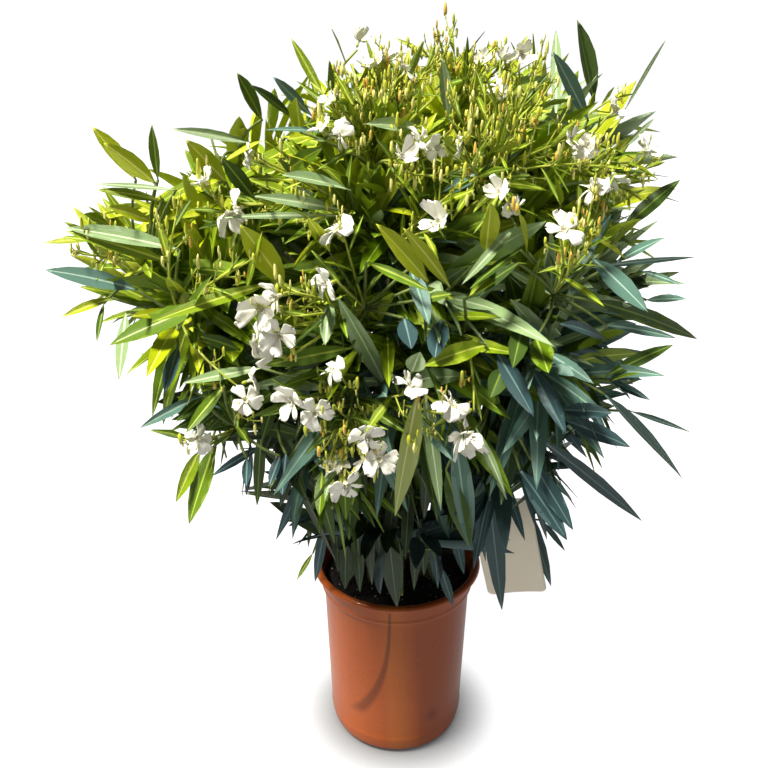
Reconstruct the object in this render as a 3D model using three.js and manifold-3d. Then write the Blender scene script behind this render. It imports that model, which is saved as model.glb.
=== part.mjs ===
// A white oleander in a terracotta-coloured nursery pot. Six stems rise from the potting soil and
// fork into boughs, and each bough ends in a mass of foliage: a shoot that branches into others,
// with lance-shaped leaves in whorls of three and blossom or buds at the tips.
// Millimetres, +Z up, the front towards -Y, and the origin in the middle of the pot's flat underside.
import * as THREE from 'three';
import { mergeVertices } from 'three/addons/utils/BufferGeometryUtils.js';
import Module from 'manifold-3d';

const wasm = await Module();
wasm.setup();

// ---- driving dimensions, in millimetres and degrees ----
const gap = 0.3; // clearance between pieces that touch
const pot = {
  height: 280,
  footRadius: 92, // flat underside
  cornerRadius: 13, // rounded edge between the underside and the wall
  wallRadius: 105, // wall just below the rim band
  bandRadius: 108.5,
  bandHeight: 34,
  lipRadius: 120,
  lipRoll: 5, // radius of the rolled lip
  wall: 3.2,
  floor: 5,
  facets: 32,
};
const soil = { below: 28, crown: 6, level: 68, facets: 24 }; // depth below the rim, and its low heap
const crown = {
  heart: new THREE.Vector3(-26, 0, 655),
  left: 418, // how far the crown reaches from its heart
  right: 358,
  deep: 372,
  high: 354,
  roundness: 2.5, // 2 would make it an ellipsoid, and more fills out its corners
  stray: 0.13, // how unevenly the leaves keep to that reach
  underside: 292, // no leaf hangs lower over the pot, and further out the underside rises
  slope: 0.84,
  frontSlope: 0.36, // how much steeper it rises towards the front
  hang: 34, // how far a few leaves hang below it, beyond the pot's lip
};
const stem = {
  ringCount: 5,
  turn: 62, // of the first stem in the ring
  stray: 21, // how much that angle varies
  footRing: 40,
  forkRing: 82,
  forkHeight: 425,
  middleFootRing: 6,
  middleForkRing: 16,
  middleForkHeight: 520,
  heightStray: 36,
  bow: 9, // how far the middle of a stem bows inwards
  sunk: 8, // its line starts this far below the soil, and is cut flat above it
  footRadius: 8.2,
  forkRadius: 5.2,
  flare: 3.4, // how much the foot widens
  flareLength: 0.12, // as a share of the stem
  sides: 6,
  steps: 5,
};
const bough = {
  radius: 3.8,
  tipRadius: 2.8,
  sides: 5,
  steps: 3,
  firstFork: 0.36, // where along the stem the lowest bough leaves it, as a share
  lastFork: 0.9,
  lowSteepness: 0.35, // how closely the lowest bough keeps to the stem's direction as it leaves
  highSteepness: 1.3,
  knee: 0.36, // shares of the bough's span at which it bends
  wrist: 0.3,
  eases: [1, 0.45, 1.8], // steepness and turn round the trunk are tried until it meets no other limb
  sways: [0, 20, -20, 40, -40, 60, -60, 80, -80],
};
const shoot = {
  footRadius: 2.8,
  radius: 2.1,
  tipRadius: 1.7,
  length: 82,
  sideCount: 4,
  spread: 48, // between a side shoot and the main one
  lowest: 0.3, // where the first side shoot leaves the main one
  interval: 0.08,
  whorls: [0.92, 0.62, 0.32],
  mainWhorls: [0.95, 0.6],
  clearance: 1,
  heights: [0.7, 0.62, 0.54, 0.46, 0.38, 0.3], // where on a stem a boughless mass may start
  skirtRise: 20, // of a shoot straight from a stem
};
const leaf = {
  perWhorl: 3,
  length: 144,
  shortest: 0.78, // shares of that length
  longest: 1.12,
  slenderness: 5.5, // length over width
  thickness: 1.8,
  stalk: 1.2, // height of the leaf's foot, sunk in the twig
  widest: 0.46,
  wideAngle: 68, // between shoot and leaf low on the shoot
  tipAngle: 27, // and at its tip
  angleStray: 16,
  arch: 0.12, // how far the tip is drawn down, as a share of the length
  archStray: 0.16,
  freeFrom: 11, // leaves may meet only closer to their root than this
  leans: [0, 0.3, -0.25, 0.6, 1], // turns tried towards its mass's middle and up, until the leaf fits
};
const blossom = {
  perHead: 2,
  openShare: 0.6, // heads with open flowers; the others carry buds
  radius: 21,
  throat: 7,
  dish: 12, // depth of the cone behind the petals
  face: 1.6, // height of the middle of the flower over its rim
  petals: 5,
  stalk: 58,
  stalkRadius: 1.5,
  tilt: 50,
  stray: 1.7, // blossom may rise further out of the crown than leaves do
};
const bud = { length: 38, width: 6.5, thickness: 5.5, stalk: 1.2, tilt: 27 };
const tag = {
  width: 76,
  height: 138,
  thickness: 1.2,
  corner: 8,
  strapWidth: 8,
  eyeRadius: 7, // to the middle of the ring that goes round the bough
  eyeThickness: 1.1,
  place: new THREE.Vector3(124, -124, 450), // middle of the card's upper edge
  turn: -12, // the way the card faces, from the front towards the right
  tilt: -13, // sideways from upright
  bough: 'lower_6',
  boughShare: 2 / 3, // where along that bough the eye sits
  slack: 12, // how far the strap bows out
};

// Tiers of foliage from the crest down, each with its count of masses and the turn of the first.
// rise is the angle of a mass above level as seen from the crown's heart. mouth is how far from it the
// bough ends and reach how long the main shoot is, both where the crown is as wide as it is deep.
// lift is how far shoots turn up, droop how far leaves hang and bloom the share of shoots in flower.
const habit = (lift, droop, bloom) => ({ lift, droop, bloom });
const tiers = [
  { name: 'crest', count: 3, rise: 62, turn: 84, mouth: 118, reach: 96, ...habit(0.25, 0.02, 0.5) },
  { name: 'upper', count: 6, rise: 33, turn: 30, mouth: 132, reach: 94, ...habit(0.25, 0.06, 0.3) },
  { name: 'middle', count: 8, rise: 4, turn: 2, mouth: 150, reach: 94, ...habit(0.15, 0.12, 0.2) },
  { name: 'lower', count: 6, rise: -22, turn: 10, mouth: 152, reach: 68, ...habit(0.08, 0.16, 0.15) },
  { name: 'skirt', count: 5, rise: -48, turn: -10, mouth: 0, reach: 68, ...habit(0.1, 0.2, 0.1) },
];

const up = new THREE.Vector3(0, 0, 1);
const down = new THREE.Vector3(0, 0, -1);
const radians = THREE.MathUtils.degToRad;

// ---- a seeded draw: the same whole-number keys always give the same share of one ----
const growthSeed = 20;
function draw(...keys) {
  let hash = growthSeed;
  for (const key of keys) {
    hash = Math.imul(hash ^ key, 0x9e3779b1);
    hash ^= hash >>> 15;
    hash = Math.imul(hash, 0x85ebca6b);
    hash ^= hash >>> 13;
  }
  return (hash >>> 0) / 2 ** 32;
}
const between = (low, high, share) => low + (high - low) * share;

// A direction from its angle round the trunk, counted from +X towards +Y, and its rise above level.
function heading(azimuth, rise) {
  const level = Math.cos(radians(rise));
  return new THREE.Vector3(
    level * Math.cos(radians(azimuth)),
    level * Math.sin(radians(azimuth)),
    Math.sin(radians(rise)),
  );
}

// Two directions square to the given one and to each other.
function across(direction) {
  const steep = Math.abs(direction.z) > 0.9;
  const first = new THREE.Vector3(steep ? 1 : 0, 0, steep ? 0 : 1).cross(direction).normalize();
  return [first, direction.clone().cross(first)];
}

// A direction tilted away from the given one, to the side that turn picks, both in degrees.
function splayed(direction, tilt, turn) {
  const [first, second] = across(direction);
  const aside = first.multiplyScalar(Math.cos(radians(turn)));
  aside.addScaledVector(second, Math.sin(radians(turn)));
  const along = direction.clone().multiplyScalar(Math.cos(radians(tilt)));
  return along.addScaledVector(aside, Math.sin(radians(tilt)));
}

// ---- solids ----
function solidOf(geometry) {
  geometry.deleteAttribute('normal');
  geometry.deleteAttribute('uv');
  const merged = mergeVertices(geometry, 1e-4);
  return new wasm.Manifold(
    new wasm.Mesh({
      numProp: 3,
      vertProperties: merged.getAttribute('position').array,
      triVerts: new Uint32Array(merged.index.array),
    }),
  );
}

function geometryOf(solid) {
  const mesh = solid.getMesh();
  const geometry = new THREE.BufferGeometry();
  geometry.setAttribute('position', new THREE.BufferAttribute(mesh.vertProperties, mesh.numProp));
  geometry.setIndex(new THREE.BufferAttribute(mesh.triVerts, 1));
  geometry.computeVertexNormals();
  return geometry;
}

// A growing line is a parabola: it sets out along way and is drawn aside by bend at its end.
function growth(start, way, length, bend) {
  const middle = start.clone().addScaledVector(way, length / 2);
  const end = start.clone().addScaledVector(way, length).add(bend);
  return new THREE.QuadraticBezierCurve3(start, middle, end);
}

// A shape that stands along Y from -1/2 to 1/2 is carried along a curve. halves gives, for each share
// of the curve, how much it is scaled towards side and square to it.
function carried(shape, curve, side, halves) {
  const position = shape.getAttribute('position');
  for (let i = 0; i < position.count; i += 1) {
    const share = position.getY(i) + 0.5;
    const tangent = curve.getTangent(share);
    const first = side.clone().addScaledVector(tangent, -side.dot(tangent)).normalize();
    const second = first.clone().cross(tangent);
    const [halfFirst, halfSecond] = halves(share);
    const place = curve.getPoint(share);
    place.addScaledVector(first, position.getX(i) * halfFirst);
    place.addScaledVector(second, position.getZ(i) * halfSecond);
    position.setXYZ(i, place.x, place.y, place.z);
  }
  return shape;
}

// A limb is a closed cylinder carried along a curve, with a radius for each share of it.
function limb(curve, radiusAt, sides, steps) {
  const [side] = across(curve.getTangent(0));
  const shape = new THREE.CylinderGeometry(1, 1, 1, sides, steps);
  return carried(shape, curve, side, (share) => [radiusAt(share), radiusAt(share)]);
}

// A leaf is flat above and keeled below: the upper and lower edge of its foot, a point on either
// margin and one on the keel where it is widest, and the tip. It is drawn aside by bend at its end.
function blade({ root, way, face, length, width, thickness, stalk, bend }) {
  const side = way.clone().cross(face);
  const rib = (share) =>
    root.clone().addScaledVector(way, length * share).addScaledVector(bend, share * share);
  const widest = rib(leaf.widest);
  const points = [
    root.clone().addScaledVector(face, stalk / 2),
    root.clone().addScaledVector(face, -stalk / 2),
    widest.clone().addScaledVector(side, width / 2),
    widest.clone().addScaledVector(side, -width / 2),
    widest.clone().addScaledVector(face, -thickness),
    rib(1),
  ];
  const [footTop, footUnder, right, left, keel, tip] = points.keys();
  const faces = [
    [footTop, right, left],
    [tip, left, right],
    [footUnder, left, keel],
    [footUnder, keel, right],
    [tip, keel, left],
    [tip, right, keel],
    [footTop, left, footUnder],
    [footTop, footUnder, right],
  ];
  const shape = new THREE.BufferGeometry().setFromPoints(points);
  shape.setIndex(faces.flat());
  return shape;
}

// A flower is a star of petals on a shallow cone that runs back to its stalk.
function flower(centre, way) {
  const [first, second] = across(way);
  const rim = [];
  for (let i = 0; i < 2 * blossom.petals; i += 1) {
    const radius = i % 2 ? blossom.throat : blossom.radius;
    const angle = (Math.PI * i) / blossom.petals;
    const point = centre.clone().addScaledVector(first, radius * Math.cos(angle));
    rim.push(point.addScaledVector(second, radius * Math.sin(angle)));
  }
  const front = centre.clone().addScaledVector(way, blossom.face);
  const back = centre.clone().addScaledVector(way, -blossom.dish);
  const faces = [];
  rim.forEach((_, i) => {
    const next = (i + 1) % rim.length;
    faces.push(i, next, rim.length, next, i, rim.length + 1);
  });
  const shape = new THREE.BufferGeometry().setFromPoints([...rim, front, back]);
  shape.setIndex(faces);
  return shape;
}

// ---- the pot and its soil ----
function potProfile() {
  const { height, footRadius, cornerRadius, wallRadius, bandRadius, lipRadius, lipRoll, wall, floor } = pot;
  const bandFoot = height - pot.bandHeight;
  const shape = new THREE.Shape();
  shape.moveTo(0, 0);
  shape.lineTo(footRadius - cornerRadius, 0);
  shape.quadraticCurveTo(footRadius + 3, 0, footRadius + 6, cornerRadius * 1.3);
  shape.lineTo(wallRadius, bandFoot - 4);
  shape.lineTo(bandRadius, bandFoot);
  shape.lineTo(bandRadius + 1.5, height - 13);
  shape.quadraticCurveTo(lipRadius - 3, height - 11, lipRadius, height - lipRoll);
  shape.absarc(lipRadius - lipRoll, height - lipRoll, lipRoll, 0, Math.PI / 2, false);
  shape.lineTo(lipRadius - lipRoll - 3, height);
  shape.lineTo(bandRadius - wall, height - 16);
  shape.lineTo(footRadius + 5 - wall, floor + 12);
  shape.lineTo(footRadius - 6 - wall, floor);
  shape.lineTo(0, floor);
  return shape.getPoints(2);
}

const innerRadiusAt = (height) =>
  between(
    pot.footRadius + 5 - pot.wall,
    pot.bandRadius - pot.wall,
    (height - pot.floor - 12) / (pot.height - 16 - pot.floor - 12),
  );
const soilTop = pot.height - soil.below;
const stemFoot = soilTop + soil.crown + gap;

function soilProfile() {
  const inner = innerRadiusAt(soilTop);
  return [
    new THREE.Vector2(0, pot.floor + gap),
    new THREE.Vector2(pot.footRadius - 8 - pot.wall, pot.floor + gap),
    new THREE.Vector2(pot.footRadius + 3 - pot.wall, pot.floor + 14),
    new THREE.Vector2(inner - 1.4, soilTop - 4),
    new THREE.Vector2(inner - 10, soilTop),
    new THREE.Vector2(soil.level, soilTop + soil.crown),
    new THREE.Vector2(0, soilTop + soil.crown),
  ];
}

// LatheGeometry turns about +Y, so the turned shape is stood up along +Z.
function turned(profile, facets) {
  return new THREE.LatheGeometry(profile, facets).rotateX(Math.PI / 2);
}

// ---- stems ----
function stemCurve(index) {
  const middle = index === stem.ringCount;
  const footRing = middle ? stem.middleFootRing : stem.footRing * between(0.8, 1.15, draw(index, 2));
  const forkRing = middle ? stem.middleForkRing : stem.forkRing * between(0.85, 1.1, draw(index, 3));
  const azimuth = stem.turn + (360 / stem.ringCount) * index + stem.stray * (draw(index, 1) - 0.5);
  const outward = heading(azimuth, 0);
  const foot = outward.clone().multiplyScalar(footRing);
  const fork = outward.clone().multiplyScalar(forkRing);
  foot.z = stemFoot - stem.sunk;
  fork.z = (middle ? stem.middleForkHeight : stem.forkHeight) + stem.heightStray * (draw(index, 4) - 0.5);
  const waist = foot.clone().lerp(fork, 0.5).addScaledVector(outward, -stem.bow);
  return new THREE.QuadraticBezierCurve3(foot, waist, fork);
}

const stemRadiusAt = (share) =>
  between(stem.footRadius, stem.forkRadius, share) + stem.flare * Math.exp(-share / stem.flareLength);

const stems = [];
for (let index = 0; index <= stem.ringCount; index += 1) {
  stems.push({ index, curve: stemCurve(index) });
}

// ---- where each mass stands ----
// How far out three shares of the crown's half sizes lie together: 1 on its rounded surface.
function rounded(shares) {
  const sum = shares.reduce((total, share) => total + Math.abs(share) ** crown.roundness, 0);
  return sum ** (1 / crown.roundness);
}

// How far the crown reaches from its heart in a direction, as if it were as round below as above.
function crownReach(direction) {
  const halves = [direction.x < 0 ? crown.left : crown.right, crown.deep, crown.high];
  const shares = direction.toArray().map((part, i) => Math.abs(part / halves[i]));
  return 1 / rounded(shares);
}

const masses = [];
tiers.forEach((tier) => {
  for (let i = 0; i < tier.count; i += 1) {
    const index = masses.length;
    const azimuth = tier.turn + (360 / tier.count) * (i + 0.24 * (draw(index, 11) - 0.5));
    const rise = tier.rise + 9 * (draw(index, 12) - 0.5);
    const axis = heading(azimuth, rise);
    const lean = axis.clone().addScaledVector(up, 0.5).normalize();
    const scale = crownReach(axis) / crown.deep;
    const [mouth, reach] = [tier.mouth * scale, tier.reach * scale];
    masses.push({ index, name: `${tier.name}_${i + 1}`, tier, azimuth, axis, lean, mouth, reach });
  }
});

// A mass's own space is the cone of directions, from the crown's heart, that lie nearest its axis.
function inOwnSpace(mass, point, margin) {
  const from = point.clone().sub(crown.heart);
  return masses.every((other) => {
    if (other === mass) return true;
    const apart = mass.axis.clone().sub(other.axis).normalize();
    return from.dot(apart) > margin;
  });
}

// The crest grows from the middle stem, every other mass from the nearest stem of the ring.
function nearestStem(mass) {
  if (mass.tier.name === 'crest') return stems[stem.ringCount];
  const ring = stems.slice(0, stem.ringCount);
  const nearness = ({ curve }) => {
    const tip = curve.getPoint(1);
    return Math.cos(Math.atan2(tip.y, tip.x) - radians(mass.azimuth));
  };
  return ring.reduce((best, candidate) => (nearness(candidate) > nearness(best) ? candidate : best));
}
masses.forEach((mass) => {
  mass.origin = nearestStem(mass);
});

// ---- boughs: the highest of a stem's boughs goes on from its tip, the others leave its side ----
const boughRadiusAt = (share) => between(bough.radius, bough.tipRadius, share);
const sleeve = (curve, radiusAt, sides, steps, clearance) =>
  solidOf(limb(curve, (share) => radiusAt(share) + clearance, sides, steps));
const stemSleeve = ({ curve }, clearance) =>
  sleeve(curve, stemRadiusAt, stem.sides, stem.steps, clearance);
const boughSleeve = (mass, clearance) =>
  sleeve(mass.bough, boughRadiusAt, bough.sides, bough.steps, clearance);

// A bough ends pointing the way its mass is to grow. ease and sway change the way it sets out.
function boughCurve(mass, leader, ease, sway) {
  const line = mass.origin.curve;
  const tangent = line.getTangent(leader ? 1 : mass.forkShare);
  const start = line.getPoint(leader ? 1 : mass.forkShare);
  if (leader) start.addScaledVector(tangent, gap);
  const mouth = crown.heart.clone().addScaledVector(mass.axis, mass.mouth);
  const setOut = tangent.clone();
  const steepness = ease * between(bough.lowSteepness, bough.highSteepness, mass.rank);
  if (!leader) setOut.multiplyScalar(steepness).add(heading(mass.azimuth + sway, 0)).normalize();
  const span = start.distanceTo(mouth);
  const knee = start.clone().addScaledVector(setOut, span * bough.knee);
  const arrive = mass.axis.clone().addScaledVector(up, mass.tier.lift).normalize();
  const wrist = mouth.clone().addScaledVector(arrive, -span * bough.wrist);
  return new THREE.CubicBezierCurve3(start, knee, wrist, mouth);
}

stems.forEach((origin) => {
  const carried = masses.filter((mass) => mass.origin === origin && mass.mouth > 0);
  carried.sort((a, b) => a.axis.z - b.axis.z);
  carried.forEach((mass, order) => {
    mass.rank = order / Math.max(1, carried.length - 1);
    mass.leader = order === carried.length - 1;
    mass.forkShare = between(bough.firstFork, bough.lastFork, mass.rank);
  });
});

// Each bough takes the first way out on which it meets no other limb. Leaders have no choice and go
// first.
const limbsSoFar = stems.map((origin) => ({ owner: origin, solid: stemSleeve(origin, gap) }));
function growBough(mass) {
  const { eases, sways } = bough;
  const tries = eases.flatMap((ease) => sways.map((sway) => boughCurve(mass, mass.leader, ease, sway)));
  const free = (curve) => {
    const solid = sleeve(curve, boughRadiusAt, bough.sides, bough.steps, 2 * gap);
    return limbsSoFar.every((limb) => limb.owner === mass.origin || limb.solid.intersect(solid).isEmpty());
  };
  mass.bough = tries.find(free) ?? tries[0];
  limbsSoFar.push({ owner: mass, solid: boughSleeve(mass, gap) });
}
const boughs = masses.filter((mass) => mass.mouth > 0);
boughs.filter((mass) => mass.leader).forEach(growBough);
boughs.filter((mass) => !mass.leader).forEach(growBough);

// ---- the paper tag: a plain card on a narrow strap whose eye goes round one of the boughs ----
function cardOutline() {
  const { width, height, corner } = tag;
  const half = width / 2;
  const card = new THREE.Shape();
  card.moveTo(corner - half, -height);
  card.lineTo(half - corner, -height);
  card.quadraticCurveTo(half, -height, half, corner - height);
  card.lineTo(half, -corner);
  card.quadraticCurveTo(half, 0, half - corner, 0);
  card.lineTo(corner - half, 0);
  card.quadraticCurveTo(-half, 0, -half, -corner);
  card.lineTo(-half, corner - height);
  card.quadraticCurveTo(-half, -height, corner - half, -height);
  return card;
}

function tagSolid() {
  const { thickness, strapWidth, eyeRadius, eyeThickness, place, slack, boughShare } = tag;
  const stance = new THREE.Matrix4().makeRotationX(Math.PI / 2);
  stance.premultiply(new THREE.Matrix4().makeRotationY(radians(tag.tilt)));
  stance.premultiply(new THREE.Matrix4().makeRotationZ(radians(tag.turn)));
  const settings = { depth: thickness, bevelEnabled: false, curveSegments: 2 };
  const plate = new THREE.ExtrudeGeometry(cardOutline(), settings);
  plate.translate(0, 0, -thickness / 2).applyMatrix4(stance).translate(place.x, place.y, place.z);

  const { bough: line } = masses.find(({ name }) => name === tag.bough);
  const middle = line.getPoint(boughShare);
  const tangent = line.getTangent(boughShare);
  const eye = new THREE.TorusGeometry(eyeRadius, eyeThickness, 4, 10);
  eye.applyQuaternion(new THREE.Quaternion().setFromUnitVectors(up, tangent));
  eye.translate(middle.x, middle.y, middle.z);

  const low = new THREE.Vector3(0, -tag.corner / 2, 0).applyMatrix4(stance).add(place);
  const outward = low.clone().sub(middle);
  outward.addScaledVector(tangent, -outward.dot(tangent)).normalize();
  const high = middle.clone().addScaledVector(outward, eyeRadius);
  const knee = high.clone().lerp(low, 0.5).addScaledVector(up, slack).addScaledVector(outward, slack);
  const strap = new THREE.BoxGeometry(1, 1, 1, 1, 5, 1);
  const side = new THREE.Vector3(1, 0, 0).applyMatrix4(stance);
  carried(strap, new THREE.QuadraticBezierCurve3(high, knee, low), side, () => [strapWidth, thickness]);
  return wasm.Manifold.union([plate, eye, strap].map(solidOf));
}
const label = tagSolid();

// ---- what foliage keeps to and keeps clear of ----
// True where a point lies in the crown: a rounded body, wider to one side, over an underside that
// rises outwards. stray, a share of one, lets a leaf's tip stand out a little or hang lower.
function inCrown(point, stray) {
  const ring = Math.hypot(point.x, point.y);
  const slope = crown.slope + crown.frontSlope * Math.max(0, -point.y / Math.max(ring, 1));
  const beyondLip = Math.max(0, ring - pot.lipRadius);
  const hang = beyondLip > 15 ? crown.hang * Math.max(0, 4 * stray - 3) : 0;
  if (point.z < crown.underside + slope * beyondLip - hang) return false;
  const out = point.clone().sub(crown.heart);
  const shares = [
    out.x / (out.x < 0 ? crown.left : crown.right),
    out.y / crown.deep,
    Math.max(0, out.z) / crown.high,
  ];
  return rounded(shares) < 1 + crown.stray * (stray - 0.6);
}

const obstacles = wasm.Manifold.union([
  label,
  ...stems.map((origin) => stemSleeve(origin, shoot.clearance)),
  ...boughs.map((mass) => boughSleeve(mass, shoot.clearance)),
]);

// ---- foliage ----
// The main shoot of a mass goes on straight from its bough's tip, or leaves the side of a main stem
// at the first of a few heights where it meets no other limb.
const mainRadiusAt = (share) => between(shoot.footRadius, shoot.tipRadius, share);

function mainShoot(mass) {
  const { tier, origin, reach } = mass;
  if (mass.bough) {
    const tangent = mass.bough.getTangent(1);
    const start = mass.bough.getPoint(1).addScaledVector(tangent, gap);
    return growth(start, tangent, reach, up.clone().multiplyScalar(reach * tier.lift * 0.4));
  }
  const others = limbsSoFar.filter(({ owner }) => owner !== origin).map(({ solid }) => solid);
  const way = heading(mass.azimuth, shoot.skirtRise);
  const bend = down.clone().multiplyScalar(reach * 0.1);
  const tries = shoot.heights.map((height) => growth(origin.curve.getPoint(height), way, reach, bend));
  const free = (curve) => {
    const solid = sleeve(curve, mainRadiusAt, 3, 3, gap);
    return others.every((other) => other.intersect(solid).isEmpty());
  };
  return tries.find(free) ?? tries[0];
}
masses.forEach((mass) => {
  mass.main = mainShoot(mass);
});

// Side shoots turn off round the main one, one above the other.
function sideShoots({ index, tier, main }) {
  const shoots = [];
  for (let order = 1; order <= shoot.sideCount; order += 1) {
    const share = shoot.lowest + shoot.interval * (order - 1);
    const turn = (360 / shoot.sideCount) * order + 60 * draw(index, 21);
    const spread = shoot.spread * between(0.85, 1.15, draw(index, order, 22));
    const length = shoot.length * between(0.85, 1.15, draw(index, order, 23));
    const way = splayed(main.getTangent(share), spread, turn);
    const bend = up.clone().multiplyScalar(length * (tier.lift - 0.25 * tier.droop));
    shoots.push({ order, curve: growth(main.getPoint(share), way, length, bend) });
  }
  return shoots;
}

// A whorl of leaves at a share of a shoot: low on the shoot they stand out wide, at its tip they
// close up.
function whorl({ index, tier }, curve, order, number, share) {
  const root = curve.getPoint(share);
  const tangent = curve.getTangent(share);
  const leaves = [];
  for (let i = 0; i < leaf.perWhorl; i += 1) {
    const key = [index, order, number, i];
    const turn = (360 / leaf.perWhorl) * i + 60 * number + 50 * draw(index, order, number, 31);
    const tilt = between(leaf.wideAngle, leaf.tipAngle, share) + leaf.angleStray * (draw(...key, 32) - 0.5);
    const hang = tier.droop * between(0.5, 1.3, draw(...key, 33));
    const way = splayed(tangent, tilt, turn).addScaledVector(down, hang).normalize();
    const length = leaf.length * between(leaf.shortest, leaf.longest, draw(...key, 34));
    const arch = leaf.arch + leaf.archStray * (draw(...key, 35) - 0.5) + 0.1 * tier.droop;
    leaves.push({ root, tangent, way, length, arch, stray: draw(...key, 36) });
  }
  return leaves;
}

// True where a solid lies in the crown and the mass's own space, clear of what isn't foliage.
function hasRoom(mass, shape, solid, stray = 0.5) {
  const position = shape.getAttribute('position');
  const point = new THREE.Vector3();
  for (let i = 0; i < position.count; i += 1) {
    point.fromBufferAttribute(position, i);
    if (!inCrown(point, stray) || !inOwnSpace(mass, point, gap)) return false;
  }
  return solid.intersect(obstacles).isEmpty();
}

// The leaf as grown, or leaning out of the way of what it would meet, or null where it has no room.
function fittedLeaf(mass, grown, body) {
  const { root, tangent, length, arch, stray } = grown;
  const { slenderness, thickness, stalk, freeFrom, leans } = leaf;
  const bend = down.clone().multiplyScalar(length * arch);
  for (const lean of leans) {
    const way = grown.way.clone().addScaledVector(mass.lean, lean).normalize();
    const face = tangent.clone().addScaledVector(way, -tangent.dot(way)).normalize();
    const shape = blade({ root, way, face, length, width: length / slenderness, thickness, stalk, bend });
    const solid = solidOf(shape);
    const outer = solid.trimByPlane(way.toArray(), way.dot(root) + freeFrom);
    if (outer.intersect(body).isEmpty() && hasRoom(mass, shape, solid, stray)) return solid;
  }
  return null;
}

// The head of a flowering shoot: a stalk with open flowers or with pointed buds.
function flowerHead(mass, curve, order, body) {
  const { index } = mass;
  const open = draw(index, order, 42) < blossom.openShare;
  const way = curve.getTangent(1);
  const reach = blossom.stalk * between(0.8, 1.5, draw(index, order, 43));
  const stalk = growth(curve.getPoint(0.96), way, reach, up.clone().multiplyScalar(reach * 0.1));
  const stalkShape = limb(stalk, () => blossom.stalkRadius, 3, 1);
  const stalkSolid = solidOf(stalkShape);
  if (!hasRoom(mass, stalkShape, stalkSolid, blossom.stray)) return [];
  const parts = [stalkSolid];
  const top = stalk.getPoint(0.97);
  for (let i = 0; i < blossom.perHead; i += 1) {
    const turn = (360 / blossom.perHead) * i + 90 * draw(index, order, 44);
    const out = splayed(way, open ? blossom.tilt : bud.tilt, turn);
    const shape = open
      ? flower(top.clone().addScaledVector(out, blossom.dish - blossom.stalkRadius / 2), out)
      : blade({ ...bud, root: top, way: out, face: across(out)[0], bend: new THREE.Vector3() });
    const solid = solidOf(shape);
    const outer = solid.trimByPlane(out.toArray(), out.dot(top) + blossom.dish / 2);
    if (outer.intersect(body).isEmpty() && hasRoom(mass, shape, solid, blossom.stray)) parts.push(solid);
  }
  return parts;
}

// A mass grows its shoots first, then flower heads, then leaves where there is room left.
function foliage(mass) {
  const radiusAt = (share) => between(shoot.radius, shoot.tipRadius, share);
  let body = solidOf(limb(mass.main, mainRadiusAt, 3, 3));
  const shoots = sideShoots(mass).filter(({ curve }) => {
    const shape = limb(curve, radiusAt, 3, 2);
    const solid = solidOf(shape);
    const free = hasRoom(mass, shape, solid);
    if (free) body = body.add(solid);
    return free;
  });
  shoots.push({ order: 0, curve: mass.main });
  shoots.forEach(({ order, curve }) => {
    if (draw(mass.index, order, 41) > mass.tier.bloom) return;
    body = wasm.Manifold.union([body, ...flowerHead(mass, curve, order, body)]);
  });
  shoots.forEach(({ order, curve }) => {
    const shares = order === 0 ? shoot.mainWhorls : shoot.whorls;
    shares.forEach((share, number) => {
      whorl(mass, curve, order, number, share).forEach((grown) => {
        const solid = fittedLeaf(mass, grown, body);
        if (solid) body = body.add(solid);
      });
    });
  });
  if (!mass.bough) body = body.subtract(stemSleeve(mass.origin, gap));
  return body.asOriginal().simplify(0.02);
}

// ---- assembly ----
const look = (color, roughness) => new THREE.MeshStandardMaterial({ color, roughness, metalness: 0 });
const terracotta = look(0xb4643c, 0.35);
const compost = look(0x1d1410, 0.95);
const bark = look(0x5f5a3c, 0.75);
const greenery = look(0x6c7f22, 0.5);
const paper = look(0xd6c8b2, 0.7);

// A mesh whose geometry is kept about its own starting point, and which stands there.
function placed(name, solid, at, material) {
  const geometry = geometryOf(solid).translate(-at.x, -at.y, -at.z);
  const mesh = new THREE.Mesh(geometry, material);
  mesh.name = name;
  mesh.position.copy(at);
  return mesh;
}

const origin = new THREE.Vector3();
const container = new THREE.Group();
container.add(placed('pot', solidOf(turned(potProfile(), pot.facets)), origin, terracotta));
container.add(placed('soil', solidOf(turned(soilProfile(), soil.facets)), origin, compost));
container.add(placed('tag', label, tag.place, paper));

const plant = new THREE.Group();
stems.forEach(({ index, curve }) => {
  const whole = solidOf(limb(curve, stemRadiusAt, stem.sides, stem.steps));
  const solid = whole.trimByPlane([0, 0, 1], stemFoot);
  plant.add(placed(`stem_${index + 1}`, solid, curve.getPoint(0), bark));
});
boughs.forEach((mass) => {
  const solid = solidOf(limb(mass.bough, boughRadiusAt, bough.sides, bough.steps));
  const cut = solid.subtract(stemSleeve(mass.origin, gap)).asOriginal().simplify(0.02);
  plant.add(placed(`bough_${mass.name}`, cut, mass.bough.getPoint(0), bark));
});
masses.forEach((mass) => {
  plant.add(placed(`foliage_${mass.name}`, foliage(mass), mass.main.getPoint(0), greenery));
});

const oleander = new THREE.Group();
oleander.add(container, plant);

export default oleander;
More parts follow.
